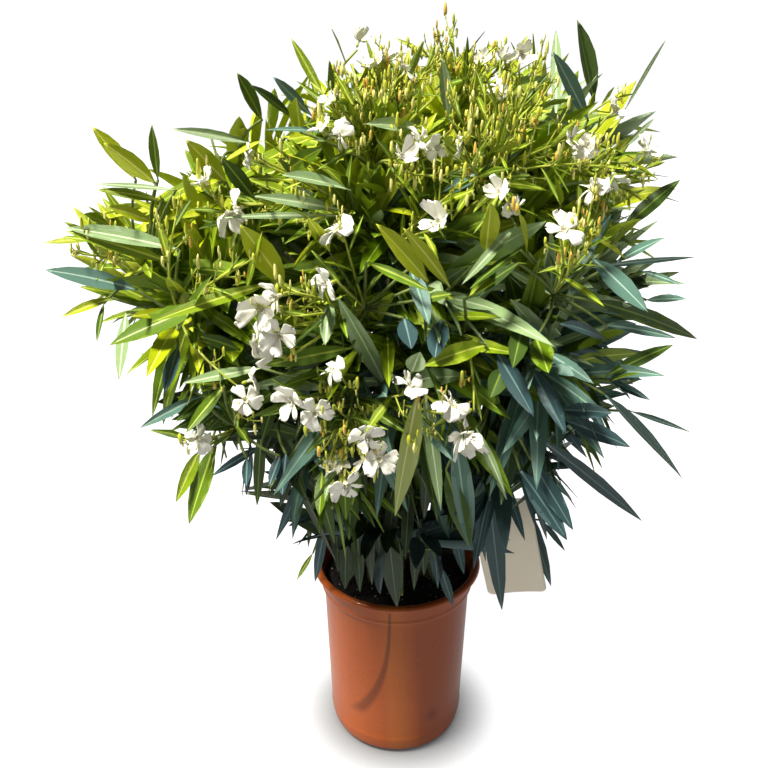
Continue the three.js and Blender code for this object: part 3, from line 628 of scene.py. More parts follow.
# leaves whose foot and tip are given, each facing the front with a twig's end at its foot
def givenLeaves(groups):
    tint = np.array([list(tints).index(name) for name, group in groups.items() for _ in group])
    rows = np.array([row for group in groups.values() for row in group], float)
    number = np.arange(len(rows))
    if rows.shape[1] > 5:
        root = sighted(rows[:, :2], 0, rows[:, 5:6])
        tip = sighted(rows[:, 2:4], 0, rows[:, 5:6] - givenStance["forward"])
    else:
        root, tip = sighted(rows[:, :2], givenStance["foot"]), sighted(rows[:, 2:4], givenStance["tip"])
    length = np.linalg.norm(tip - root, axis=1)
    arch = between(*givenStance["arches"], draw(number, 54))
    way = (tip + up * (length * arch)[:, None] - root) / length[:, None]
    stray = np.stack([draw(number, key) for key in (55, 56, 57)], 1) - 0.5
    tangent = np.array(givenStance["facing"]) + givenStance["facingStray"] * stray
    return {"root": root, "tangent": tangent, "way": way, "length": length, "arch": arch, "mass": number * 0,
            "spray": number + givenStance["firstSpray"], "draw": draw(number, 58),
            "twist": draw(number, 59) - 0.5, "slender": length / rows[:, 4], "stray": number * 0.0,
            "tint": tint}


say(f"{len(leaves['length'])} leaves")


# a mesh from arrays: polygons are rows of corner numbers, with -1 where a triangle has no fourth
def meshPiece(name, vertices, polygons, materials, index=None, uv=None, sharp=None, smooth=True):
    mesh = bpy.data.meshes.new(name)
    used = polygons >= 0
    corners = polygons[used]
    totals = used.sum(1)
    mesh.vertices.add(len(vertices))
    mesh.vertices.foreach_set("co", (np.asarray(vertices, np.float64) / 1000).astype(np.float32).ravel())
    mesh.loops.add(len(corners))
    mesh.loops.foreach_set("vertex_index", corners.astype(np.int32))
    mesh.polygons.add(len(totals))
    mesh.polygons.foreach_set("loop_start", (np.cumsum(totals) - totals).astype(np.int32))
    mesh.polygons.foreach_set("loop_total", totals.astype(np.int32))
    mesh.polygons.foreach_set("use_smooth", np.full(len(totals), smooth))
    if index is not None:
        mesh.polygons.foreach_set("material_index", index.astype(np.int32))
    for material in materials:
        mesh.materials.append(material)
    if uv is not None:
        layer = mesh.uv_layers.new(name="UVMap")
        layer.data.foreach_set("uv", uv[corners].astype(np.float32).ravel())
    mesh.update(calc_edges=True)
    mesh.validate()
    if sharp is not None:
        ends = np.empty(len(mesh.edges) * 2, np.int32)
        mesh.edges.foreach_get("vertices", ends)
        ends = ends.reshape(-1, 2)
        marks = mesh.attributes.new("sharp_edge", "BOOLEAN", "EDGE")
        marks.data.foreach_set("value", (sharp[ends[:, 0]] > 0) & (sharp[ends[:, 0]] == sharp[ends[:, 1]]))
    piece = bpy.data.objects.new(name, mesh)
    bpy.context.collection.objects.link(piece)
    return piece


# ties a piece to the plant's one body, and hides the solids it stands for
def declare(piece, slot, *nodes):
    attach(piece, "root")
    if nodes:
        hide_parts(*nodes)


# copies of one template side by side: corner numbers shifted by the vertex count of each copy
def repeated(polygons, copies, count):
    shifted = polygons[None] + (np.arange(copies) * count)[:, None, None]
    return np.where(polygons[None] < 0, -1, shifted).reshape(-1, polygons.shape[1])


# walls between rings of corners, one ring after another
def ringWalls(rings, sides):
    ring, side = np.arange(rings - 1)[:, None] * sides, np.arange(sides)[None]
    after = (side + 1) % sides
    corners = np.broadcast_arrays(ring + side, ring + after, ring + sides + after, ring + sides + side)
    return np.stack(corners, -1).reshape(-1, 4)


# the same walls, and a fan at each end to one more corner
def ringFaces(rings, sides):
    side = np.arange(sides)
    after = (side + 1) % sides
    none = np.full(sides, -1)
    last, foot = (rings - 1) * sides, rings * sides
    return np.concatenate([ringWalls(rings, sides), np.stack([after, side, none + 1 + foot, none], 1),
                           np.stack([last + side, last + after, none + 2 + foot, none], 1)])


# closed tubes along curves: rings of a radius given for each curve, step and side, and a fan at each end
def tubes(curves, radii, sides):
    count, steps = radii.shape[:2]
    shares = np.linspace(0, 1, steps)
    centre = along(curves[:, None], shares[None])
    tangent = heads(curves[:, None], shares[None])
    first = across(tangent[:, 0])[0][:, None]
    first = unit(first - tangent * dot(first, tangent))
    second = np.cross(tangent, first)
    angle = np.arange(sides) * 2 * np.pi / sides
    around = first[:, :, None] * np.cos(angle)[:, None] + second[:, :, None] * np.sin(angle)[:, None]
    if radii.ndim == 2:
        radii = radii[..., None]
    rings = centre[:, :, None] + around * np.broadcast_to(radii, (count, steps, sides))[..., None]
    vertices = np.concatenate([rings.reshape(count, -1, 3), centre[:, :1], centre[:, -1:]], 1)
    return vertices.reshape(-1, 3), repeated(ringFaces(steps, sides), count, steps * sides + 2)


# vertices and polygons of several parts as one
def merged(parts):
    shifts = np.cumsum([0] + [len(vertices) for vertices, _ in parts[:-1]])
    faces = [np.where(faces < 0, -1, faces + shift) for (_, faces), shift in zip(parts, shifts)]
    return np.concatenate([vertices for vertices, _ in parts]), np.concatenate(faces)


# shader nodes

# a socket whose sums are written as plain arithmetic
class Wire:
    def __init__(self, shader, socket):
        self.shader, self.socket = shader, socket

    def __add__(self, other):
        return self.shader.math("ADD", self, other)

    def __sub__(self, other):
        return self.shader.math("SUBTRACT", self, other)

    def __rsub__(self, other):
        return self.shader.math("SUBTRACT", other, self)

    def __mul__(self, other):
        return self.shader.math("MULTIPLY", self, other)

    def __truediv__(self, other):
        return self.shader.math("DIVIDE", self, other)

    def __pow__(self, other):
        return self.shader.math("POWER", self, other)


# a material on the Principled surface, with one method for each node that is used
class Shader:
    def __init__(self, name, **plain):
        self.material = bpy.data.materials.new(name)
        self.material.use_nodes = True
        self.tree = self.material.node_tree
        self.surface = self.tree.nodes["Principled BSDF"]
        for socket, value in plain.items():
            self.surface.inputs[socket.replace("_", " ")].default_value = value

    def node(self, kind, settings=None, inputs=None):
        made = self.tree.nodes.new(kind)
        for name, value in (settings or {}).items():
            setattr(made, name, value)
        for name, value in (inputs or {}).items():
            if isinstance(value, Wire):
                self.tree.links.new(value.socket, made.inputs[name])
            else:
                made.inputs[name].default_value = value
        return made

    def math(self, operation, *values):
        made = self.node("ShaderNodeMath", {"operation": operation}, dict(enumerate(values)))
        return Wire(self, made.outputs[0])

    def clamp(self, value):
        made = self.node("ShaderNodeMath", {"operation": "ADD", "use_clamp": True}, {0: value, 1: 0.0})
        return Wire(self, made.outputs[0])

    def place(self, kind="Object"):
        return Wire(self, self.node("ShaderNodeTexCoord").outputs[kind])

    def parts(self, vector):
        made = self.node("ShaderNodeSeparateXYZ", None, {0: vector})
        return [Wire(self, socket) for socket in made.outputs]

    def stretched(self, vector, scale):
        made = self.node("ShaderNodeVectorMath", {"operation": "MULTIPLY"}, {0: vector, 1: scale})
        return Wire(self, made.outputs[0])

    def noise(self, vector, scale, detail=3.0, rough=0.55):
        values = {"Vector": vector, "Scale": scale, "Detail": detail, "Roughness": rough}
        return Wire(self, self.node("ShaderNodeTexNoise", None, values).outputs[0])

    # 0 up to a least value, then rising by the gain up to 1
    def steep(self, noise, least, gain):
        return self.clamp((noise - least) * gain)

    def mix(self, factor, first, second):
        made = self.node("ShaderNodeMix", {"data_type": "RGBA"}, {0: factor, 6: first, 7: second})
        return Wire(self, made.outputs[2])

    def bump(self, height, distance, strength=1.0):
        values = {"Height": height, "Distance": distance, "Strength": strength}
        made = self.node("ShaderNodeBump", None, values)
        self.tree.links.new(made.outputs[0], self.surface.inputs["Normal"])

    def feed(self, name, value):
        self.tree.links.new(value.socket, self.surface.inputs[name])


# display colour from 0 to 255 to linear
def colour(red, green, blue):
    shown = np.array([red, green, blue]) / 255
    linear = np.where(shown <= 0.04045, shown / 12.92, ((shown + 0.055) / 1.055) ** 2.4)
    return (*[float(value) for value in linear], 1.0)


# leaf pieces
blade = {
    "lateral": (-1, -0.5, -0.08, 0.08, 0.5, 1, 0.5, 0, -0.5),      # across the blade: margins, rib and keel
    "inner": 0.36,      # rise of the blade half way out, as a share of the margin's
    "shares": (0, 0.06, 0.18, 0.36, 0.56, 0.76, 0.92, 1),
    "widths": (0.12, 0.2, 0.62, 0.94, 0.99, 0.73, 0.3, 0.02),
    "ribWidth": 1.1,    # half width of the pale midrib at the foot, which narrows to the tip
    "fold": 0.2,        # rise of the margins over the midrib, as a share of the half width
    "foldStray": 0.22,
    "twist": 46,        # turn of the tip against the foot
    "curl": 0.5,        # how much the tip turns down beyond the arch
}
# upper side, under side and midrib of each tint, all one leaf green under painted light: the warm ones from
# painted shade to painted sun, then the cool ones from painted cool shade to painted sky sheen, and last
# painted shade on leaves over the pot and painted sun on one pale leaf
tints = {
    "deep": ((34, 54, 8), (58, 80, 26), (78, 100, 34)),
    "plain": ((62, 92, 6), (88, 116, 30), (120, 144, 50)),
    "fresh": ((98, 130, 4), (128, 156, 34), (164, 182, 66)),
    "yellowish": ((140, 168, 4), (164, 186, 36), (198, 208, 80)),
    "sunny": ((188, 202, 12), (198, 208, 52), (222, 226, 106)),
    "dusk": ((54, 84, 86), (82, 110, 110), (98, 126, 122)),
    "blueish": ((96, 134, 118), (128, 158, 144), (148, 176, 156)),
    "sky_sheen": ((152, 180, 122), (174, 196, 148), (198, 214, 168)),
    "shaded": ((60, 76, 52), (78, 94, 64), (98, 114, 82)),
    "pale": ((190, 204, 104), (196, 208, 130), (224, 228, 166)),
}
tintRule = {
    "warm": 5, "cool": 3, "coolFrom": 0.2, "coolGain": 3.2, "coolStart": 0.3,
    "half": (420.0, 420.0, 370.0), "at": 0.6, "sunward": (-0.2, 0.08, 0.97),
    # sun by direction, by depth past a share of the half size, by spray and by leaf
    "level": 0.45, "direction": 0.7, "depth": 0.4, "depthFrom": 0.8, "spray": 0.42, "leaf": 0.3,
    "skyward": (0.5, -0.1, -0.34), "skySpray": 0.7,
}


# shiny leaf skin with fine side veins and soft waves in the gloss
def leafMaterial(name, base, roughness, coat, veins):
    shader = Shader(name, Base_Color=colour(*base), Specular_IOR_Level=0.46, Coat_Weight=coat,
                    Coat_Roughness=0.25)
    sideways, onwards, _ = shader.parts(shader.place("UV"))
    slant = onwards * 95.0 - shader.math("ABSOLUTE", sideways) * 26.0
    veinHeight = shader.math("SINE", slant * 6.2832) * veins
    patch = shader.noise(shader.place(), 260.0, 2.0)
    shader.bump(veinHeight + patch, 0.0006, 0.5)
    shader.feed("Roughness", shader.clamp(patch * 0.24 + (roughness - 0.12)))
    return shader.material


# blades for the given leaves: margin, midrib strip and margin above, and a keel below
def bladeVertices(leaves, rows=slice(None)):
    shares, widths = np.array(blade["shares"])[rows], np.array(blade["widths"])[rows]
    count, steps = len(leaves["length"]), len(shares)
    line = leafLine(leaves, leaves["way"], shares)
    tangent = unit(np.gradient(line, axis=1))
    stray = np.stack([leaves["draw"], leaves["twist"] + 0.5, leaves["draw"] * 0], -1) - 0.5
    wish = leaves["tangent"] + up * leaf["faceUp"] + stray * leaf["faceStray"]
    face = unit(wish[:, None] - tangent * dot(wish[:, None], tangent))
    side = np.cross(tangent, face)
    turn = (np.radians(blade["twist"]) * leaves["twist"][:, None] * shares[None])[..., None]
    side, face = side * np.cos(turn) + face * np.sin(turn), face * np.cos(turn) - side * np.sin(turn)
    half = (leaves["length"] / leaves["slender"] / 2)[:, None] * widths[None]
    rib = blade["ribWidth"] * between(1, 0.3, shares)[None] * np.ones((count, 1))
    rib = np.minimum(rib, half * 0.5)
    rise = half * (blade["fold"] + blade["foldStray"] * (leaves["draw"][:, None] - 0.5) * 2)
    under = leaf["thickness"] * between(1, 0.4, shares)[None] * np.ones((count, 1))
    inner, below, flat = rise * blade["inner"], rise * 0.5 - under * 0.55, rise * 0
    places = [(-half, rise), (-half * 0.5, inner), (-rib, flat), (rib, flat), (half * 0.5, inner),
              (half, rise), (half * 0.5, below), (flat, -under), (-half * 0.5, below)]
    columns = [line + side * x[..., None] + face * z[..., None] for x, z in places]
    return np.stack(columns, 2).reshape(-1, 3)


# corner numbers, materials, UVs and margin marks of one blade
def bladeTemplate(rows=slice(None)):
    shares, widths = np.array(blade["shares"])[rows], np.array(blade["widths"])[rows]
    steps, columns = len(shares), len(blade["lateral"])
    index = np.tile([0, 0, 1, 0, 0, 2, 2, 2, 2], steps - 1)
    foot = np.array([[0, 8, 1, -1], [1, 8, 7, 2], [2, 7, 3, -1], [3, 7, 6, 4], [4, 6, 5, -1]])
    tip = np.where(foot < 0, -1, foot + (steps - 1) * columns)
    flipped = np.where(tip[:, 3:] < 0, np.concatenate([tip[:, 2::-1], tip[:, 3:]], 1), tip[:, ::-1])
    polygons = np.concatenate([ringWalls(steps, columns), foot, flipped])
    index = np.concatenate([index, np.full(len(foot) + len(flipped), 2)])
    sideways = widths[:, None] * np.array(blade["lateral"])
    uv = np.stack(np.broadcast_arrays(sideways, shares[:, None]), -1).reshape(-1, 2)
    mark = np.tile([1, 0, 0, 0, 0, 2, 0, 0, 0], steps)
    return polygons, index, uv, mark


# share of sun and of sky by place: sun to the upper left, a cool sky low down and to the right
def sunShare(leaves):
    tip = leaves["root"] + leaves["way"] * (leaves["length"] * tintRule["at"])[:, None]
    out = (tip - heart) / np.array(tintRule["half"])
    spray = leaves["spray"].astype(int)
    own = draw(spray, (leaves["draw"] * 997).astype(int)) - 0.5
    sun = tintRule["level"] + tintRule["direction"] * (out @ unit(np.array(tintRule["sunward"])))
    sun = sun + tintRule["depth"] * (np.linalg.norm(out, axis=1) - tintRule["depthFrom"])
    sun = sun + tintRule["spray"] * (draw(spray, 51) - 0.5) + tintRule["leaf"] * own
    return sun, out @ np.array(tintRule["skyward"]) + tintRule["skySpray"] * (draw(spray, 52) - 0.5)


# number of each leaf's tint: from its sun among the warm or the cool ones, unless it has one already
def tintOf(leaves):
    sun, cool = sunShare(leaves)
    warm = np.clip(sun * tintRule["warm"], 0, tintRule["warm"] - 1)
    other = np.clip(sun * tintRule["coolGain"] + tintRule["coolStart"], 0, tintRule["cool"] - 1)
    number = np.where(cool > tintRule["coolFrom"], tintRule["warm"] + other, warm).astype(int)
    return np.where(leaves["tint"] >= 0, leaves["tint"], number)


# one joined piece of blades
def bladePiece(name, leaves, rows, materials):
    polygons, index, uv, mark = bladeTemplate(rows)
    count = len(leaves["length"])
    piece = meshPiece(name, bladeVertices(leaves, rows), repeated(polygons, count, len(uv)), materials,
                      np.tile(index, count), np.tile(uv, (count, 1)), np.tile(mark, count))
    declare(piece, "greenery", *foliageNodes)


standouts = joined([givenLeaves(standing), givenLeaves(hanging)])
leaves = joined([leaves, standouts])
standLengths = standouts["length"]
say(f"{len(standLengths)} leaves stand out, {standLengths.min():.0f} to {standLengths.max():.0f} mm")
tintNumber = tintOf(leaves)
# roughness, coat and height of the veins of a leaf's upper side, midrib and under side
leafFinish = (("top", 0.4, 0.08, 0.7), ("under", 0.6, 0.0, 1.0), ("rib", 0.5, 0.05, 0.0))
leafMaterials = {}
for number, (name, colours) in enumerate(tints.items()):
    skins = {part: leafMaterial(f"leaf_{name}_{part}", base, *finish)
             for base, (part, *finish) in zip(colours, leafFinish)}
    leafMaterials[name] = [skins["top"], skins["rib"], skins["under"]]
    chosen = keep(leaves, tintNumber == number)
    bladePiece(f"leaves_{name}", chosen, slice(None), leafMaterials[name])
    say(f"{len(chosen['length'])} leaves in {name}")

# limbs and twigs
bark = {
    "relief": 0.05, "scar": 0.07, "scarGap": 21, "flare": 3.4, "flareOver": 0.12,
    "stem": {"steps": 90, "sides": 20, "firstKey": 0}, "bough": {"steps": 56, "sides": 14, "firstKey": 20},
    "twigSteps": 9, "twigSides": 6,
}


# radius with ribs along the limb, lumps, and a swelling at every leaf scar
def barkRadii(base, lengths, sides, keys):
    count, steps = base.shape
    share = np.linspace(0, 1, steps)[None, :, None]
    angle = (np.arange(sides) * 2 * np.pi / sides)[None, None]
    phase = 6.28 * draw(keys, 61)[:, None, None]
    ribs = np.sin(5 * angle + phase + 4 * share) + 0.6 * np.sin(9 * angle - 7 * share + 2 * phase)
    lumps = np.sin(angle + 31 * share + phase) * np.sin(57 * share + 3 * phase)
    scars = np.cos(2 * np.pi * share * (lengths / bark["scarGap"])[:, None, None] + phase) ** 16
    return base[..., None] * (1 + bark["relief"] * (0.45 * ribs + 0.6 * lumps) + bark["scar"] * scars)


# length of curves, measured over nine points
def lengthOf(curves):
    points = along(curves[:, None], np.linspace(0, 1, 9)[None])
    return np.linalg.norm(np.diff(points, axis=1), axis=-1).sum(1)


# bark that goes from grey-brown to green, with fine cracks and pale pores
def barkMaterial(name, dark, light, poreColour, scale):
    shader = Shader(name, Roughness=0.78)
    place = shader.place()
    grain = shader.noise(shader.stretched(place, (1, 1, 0.25)), scale, 6.0)
    pores = shader.steep(shader.noise(place, scale * 3.2, 2.0), 0.64, 9.0)
    mixed = shader.mix(shader.steep(grain, 0.3, 2.4), colour(*dark), colour(*light))
    shader.feed("Base Color", shader.mix(pores, mixed, colour(*poreColour)))
    shader.bump(grain + pores * 0.4, 0.0012, 0.7)
    shader.feed("Roughness", shader.clamp(grain * 0.3 + 0.6))
    return shader.material


# one piece for all limbs of a kind
def limbPiece(kind, curves, flare, material, nodes):
    values = bark[kind]
    shares = np.linspace(0, 1, values["steps"])
    radius = between(*limbRadius[kind], shares) + flare * np.exp(-shares / bark["flareOver"])
    base, keys = np.tile(radius, (len(curves), 1)), np.arange(len(curves)) + values["firstKey"]
    vertices, faces = tubes(curves, barkRadii(base, lengthOf(curves), values["sides"], keys), values["sides"])
    declare(meshPiece(f"{kind}_bark", vertices, faces, [material]), "bark", *nodes)


# green twigs of one kind of shoot
def twigTubes(shoots, radii):
    base = np.tile(between(*radii, np.linspace(0, 1, bark["twigSteps"])), (len(shoots["mass"]), 1))
    keys = shoots["mass"] * 50 + shoots["order"]
    radii = barkRadii(base, lengthOf(shoots["curve"]), bark["twigSides"], keys)
    return tubes(shoots["curve"], radii, bark["twigSides"])


barkOld = barkMaterial("bark_old", (70, 62, 44), (118, 110, 82), (150, 142, 116), 190.0)
limbPiece("stem", stems, bark["flare"], barkOld, [f"stem_{i + 1}" for i in range(len(stems))])
barkYoung = barkMaterial("bark_young", (82, 84, 48), (126, 128, 78), (160, 158, 118), 260.0)
limbPiece("bough", boughs, 0, barkYoung, boughNames)
twigGreen = barkMaterial("twig_green", (86, 102, 42), (120, 136, 66), (150, 156, 100), 300.0)
allTwigs = [twigTubes(shoots, shootKinds[kind]["radii"]) for kind, shoots in allShoots.items()]
allCurves = np.concatenate([shoots["curve"] for shoots in allShoots.values()])
twigPoints = along(allCurves[:, None], np.linspace(0.45, 1, 5)[None])


# lines that leave the nearest twig at least a given distance away and end at the given places
def reaching(goal, least, outward=0.5):
    spots = twigPoints.reshape(-1, 3)
    distance = np.linalg.norm(goal[:, None] - spots[None], axis=-1)
    start = spots[(distance + 4 * np.maximum(0, least - distance)).argmin(1)]
    reach = np.linalg.norm(goal - start, axis=1)
    way = unit(unit(goal - start) + unit(goal - heart) * outward)
    return growth(start, way, reach, goal - start - way * reach[:, None])


stub = {"least": 10, "order": 77, "radii": (1.7, 1.3)}
stubCurves = reaching(standouts["root"], stub["least"])
say(f"longest stub {np.linalg.norm(stubCurves[:, 3] - stubCurves[:, 0], axis=1).max():.0f} mm")
stubs = {"curve": stubCurves, "mass": np.arange(len(stubCurves)),
         "order": np.full(len(stubCurves), stub["order"])}
allTwigs.append(twigTubes(stubs, stub["radii"]))
declare(meshPiece("twigs", *merged(allTwigs), [twigGreen]), "bark", *foliageNodes)
say("limbs and twigs")

# pot
pot = {
    "height": 280, "foot": 92, "corner": 13, "wall": 105, "band": 108.5, "bandHeight": 34,
    "lip": 120, "lipRoll": 5, "thick": 3.2, "floor": 5, "segments": 208,
    "ridge": 0.72, "ridgeAt": 27, "ridgeWidth": 2.6,       # of the faint ring low on the wall
    "standRing": 30, "recess": 2.0, "footArc": 14, "flare": 15, "bandTaper": 1.6,
}


# points on an arc of a circle in the profile plane
def arc(centre, radius, first, last, count):
    angle = np.radians(np.linspace(first, last, count))
    return np.stack([centre[0] + radius * np.cos(angle), centre[1] + radius * np.sin(angle)], 1)


# the pot's section from the middle of its underside, up the outside, over the lip and down the inside
def potProfile():
    foot, top, band, lip, roll = (pot[name] for name in ("foot", "height", "band", "lip", "lipRoll"))
    bandFoot = top - pot["bandHeight"]
    ring = foot - pot["standRing"]
    under = [[0.01, pot["recess"]], [ring - 4, pot["recess"]], [ring, 0.0], [foot - pot["corner"], 0.0]]
    heights = np.linspace(20, bandFoot - 5, 60)
    taper = between(foot + 6.2, pot["wall"], (heights - 17) / (bandFoot - 21))
    ridge = pot["ridge"] * np.exp(-(((heights - pot["ridgeAt"]) / pot["ridgeWidth"]) ** 2))
    step = [[pot["wall"] + 0.5, bandFoot - 3], [band + 0.2, bandFoot - 1.2], [band + 1.0, bandFoot + 0.6],
            [band + 0.9, bandFoot + 2.4], [band + 0.2, bandFoot + 4]]
    rise, flare = np.linspace(0, 1, 10), np.linspace(0, 1, 9)[1:]
    bandTop, bandWidest = top - pot["flare"], band + 0.2 + pot["bandTaper"]
    bandWall = np.stack([band + 0.2 + pot["bandTaper"] * rise, between(bandFoot + 5, bandTop, rise)], 1)
    neck = np.stack([bandWidest + (lip - bandWidest) * flare**2.2, bandTop + 9.6 * flare], 1)
    inside = band - pot["thick"]
    inner = [[lip - roll - 3, top - 0.4], [lip - roll - 6, top - 3.4], [inside + 0.4, top - 14],
             [inside - 0.6, top - 30], [foot + 5 - pot["thick"], pot["floor"] + 12],
             [foot - 6 - pot["thick"], pot["floor"]], [0.01, pot["floor"]]]
    return np.concatenate([under, arc((foot - 9, pot["footArc"]), pot["footArc"], -80, -8, 12),
                           np.stack([taper + ridge, heights], 1), step, bandWall, neck,
                           arc((lip - roll, top - roll), roll, 0, 96, 12), inner])


# a profile turned about the axis, its first and last rings closed by one vertex each
def lathe(profile, segments):
    angle = np.arange(segments) * 2 * np.pi / segments
    radius, height = profile[:, :1], profile[:, 1:]
    rings = np.stack([radius * np.cos(angle), radius * np.sin(angle), height + 0 * angle], -1)[1:-1]
    vertices = np.concatenate([rings.reshape(-1, 3), [[0, 0, height[0, 0]]], [[0, 0, height[-1, 0]]]])
    return vertices, ringFaces(len(rings), segments)


# marks on the pot's front, in metres as the material sees them
potMarks = {
    # where the paler painted reflection band on the front starts and ends; the darker painted reflection
    # follows it
    "reflectionFrom": -0.022, "reflectionTo": 0.02, "soft": 0.012,
    "streakTop": 0.268, "streakFoot": 0.062, "streakRun": 0.2, "streakAside": 0.048, "streakFrom": -0.011,
    "streakHalf": 0.0016, "streakGrow": 0.007,
    "rust": (0.052, 0.064), "rustReach": 0.014,
}
# the pale tone and the darker one after it colour the painted reflections on the front
potColours = {
    "cloud": ((166, 80, 28), (184, 92, 36)), "flow": (128, 56, 22), "pale": (178, 98, 36),
    "darkReflection": (134, 58, 23), "rust": (112, 38, 12), "scuff": (196, 124, 78), "streak": (84, 38, 8),
}


# glossy terracotta plastic: clouded colour, faint darker upright streaks and scuffs, painted reflections as a
# paler upright band at the front and a darker one next to it, a rusty patch, and a dark streak that runs down
# and curves aside
def potMaterial():
    marks, tones = potMarks, {name: colour(*tone) for name, tone in potColours.items() if name != "cloud"}
    shader = Shader("terracotta_plastic", Coat_Weight=0.22, Coat_Roughness=0.1, Specular_IOR_Level=0.2)
    place = shader.place()
    x, y, z = shader.parts(place)
    cloud = shader.noise(place, 9.0, 4.0)
    flow = shader.noise(shader.stretched(place, (60, 60, 3)), 1.0, 3.0)
    scuff = shader.steep(shader.noise(shader.stretched(place, (40, 40, 300)), 1.0, 4.0), 0.62, 5.0)
    front = shader.clamp(y * -20.0)
    wander = x + (flow - 0.5) * 0.02 + (z - 0.15) * 0.06
    base = shader.mix(shader.steep(cloud, 0.3, 1.8), *(colour(*tone) for tone in potColours["cloud"]))
    # faint darker upright streaks in the colour
    base = shader.mix(flow * 0.35, base, tones["flow"])
    # painted reflection: a paler upright band on the front
    pale = shader.clamp((wander - marks["reflectionFrom"]) / marks["soft"])
    pale = pale * shader.clamp((marks["reflectionTo"] - wander) / marks["soft"])
    base = shader.mix(pale * front * 0.55, base, tones["pale"])
    # painted reflection: a darker upright band next to the pale one
    darkReflection = shader.clamp((wander - marks["reflectionTo"]) / marks["soft"]) * front
    base = shader.mix(darkReflection * 0.4, base, tones["darkReflection"])
    away = ((x - marks["rust"][0]) ** 2.0 + (z - marks["rust"][1]) ** 2.0) ** 0.5
    rust = shader.clamp(1.4 - away / marks["rustReach"] - cloud * 0.5)
    base = shader.mix(rust * front * 0.7, base, tones["rust"])
    base = shader.mix(scuff * 0.2, base, tones["scuff"])
    fall = shader.clamp((marks["streakTop"] - z) / marks["streakRun"])
    middle = marks["streakFrom"] - fall * fall * fall * marks["streakAside"]
    half = fall * fall * marks["streakGrow"] + marks["streakHalf"]
    streak = shader.clamp(1.6 - shader.math("ABSOLUTE", x - middle) / half)
    streak = streak * shader.steep(z, marks["streakFoot"], 60.0)
    streak = streak * shader.clamp((marks["streakTop"] - z) * 200.0) * front
    shader.feed("Base Color", shader.mix(streak * 0.62, base, tones["streak"]))
    shader.feed("Roughness", shader.clamp(cloud * 0.18 + scuff * 0.2 + 0.2))
    shader.bump(flow * 0.5 + cloud * 0.3, 0.0012, 0.35)
    return shader.material


piece = meshPiece("pot_shell", *lathe(potProfile(), pot["segments"]), [potMaterial()])
declare(piece, "terracotta_plastic", "pot")

# soil
soil = {
    "radius": 101, "depth": 30, "rings": 56, "segments": 200, "heap": 5.0, "fall": 4.0, "fallFrom": 60,
    "lump": 1.1, "smooth": 14, "inset": 6,
    # count, size and draw key of loose pieces, and their colours and grain
    "crumbs": (2600, (0.9, 4.2), 71, "potting_crumbs", (16, 12, 9), (52, 38, 28), 300.0),
    "pale_bits": (170, (0.7, 2.4), 72, "potting_grit", (168, 160, 146), (214, 208, 194), 500.0),
}


# height of the soil's surface: a low heap with lumps from crossed sines
def soilHeight(x, y):
    ring = np.hypot(x, y)
    fall = np.clip((ring - soil["fallFrom"]) / (soil["radius"] - soil["fallFrom"]), 0, 1) ** 2
    lumps = np.sin(x * 0.31 + 1.7 * np.sin(y * 0.23)) * np.sin(y * 0.27 + 1.3 * np.sin(x * 0.19))
    lumps = lumps + 0.5 * np.sin(x * 0.83 + y * 0.61) * np.sin(y * 0.77 - x * 0.5)
    edge = np.clip((soil["radius"] - ring) / soil["smooth"], 0, 1)
    return rule["soilTop"] + soil["heap"] - soil["fall"] * fall + soil["lump"] * lumps * edge


# crumbs: squashed and turned eight-faced lumps dealt over a disc
def crumbs(count, sizes, key):
    number = np.arange(count)
    ring = (soil["radius"] - soil["inset"]) * np.sqrt(draw(number, key, 1))
    angle = 2 * np.pi * draw(number, key, 2)
    x, y = ring * np.cos(angle), ring * np.sin(angle)
    size = between(*sizes, draw(number, key, 3) ** 2)
    centre = np.stack([x, y, soilHeight(x, y) + size * 0.35], 1)
    corner = np.array([[1, 0, 0], [0, 1, 0], [-1, 0, 0], [0, -1, 0], [0, 0, 1], [0, 0, -1]], float)
    first = unit((np.stack([draw(number, key, i) for i in (4, 5, 6)], 1) - 0.5) * [1, 1, 0.6])
    second, third = across(first)
    shares = [1 + 0 * size, between(0.5, 1, draw(number, key, 7)), between(0.3, 0.7, draw(number, key, 8))]
    scales = size[:, None] * np.stack(shares, 1)
    axes = np.stack([first * scales[:, :1], second * scales[:, 1:2], third * scales[:, 2:]], 1)
    vertices = centre[:, None] + np.einsum("vk,nkc->nvc", corner, axes)
    side = np.arange(4)
    after = (side + 1) % 4
    none = np.full(4, -1)
    upper, lower = [side, after, none + 5, none], [after, side, none + 6, none]
    faces = np.concatenate([np.stack(upper, 1), np.stack(lower, 1)])
    return vertices.reshape(-1, 3), repeated(faces, count, 6)


# matte grains between two colours
def soilMaterial(name, dark, light, scale):
    shader = Shader(name)
    grain = shader.noise(shader.place(), scale, 6.0, 0.7)
    shader.feed("Base Color", shader.mix(shader.steep(grain, 0.35, 2.2), colour(*dark), colour(*light)))
    shader.feed("Roughness", shader.clamp(grain * 0.2 + 0.8))
    shader.bump(grain, 0.004, 1.0)
    return shader.material


# a disc of rings over a plain underside, its upper rings raised to the soil's height
def soilBed():
    top, below = rule["soilTop"], rule["soilTop"] - soil["depth"]
    rings = np.linspace(0, soil["radius"], soil["rings"])[:0:-1]
    profile = np.array([[0, below], [soil["radius"] - 4, below], *[[ring, top] for ring in rings], [0, top]])
    vertices, faces = lathe(profile, soil["segments"])
    surface = vertices[:, 2] > top - 1
    vertices[surface, 2] = soilHeight(vertices[surface, 0], vertices[surface, 1])
    return vertices, faces


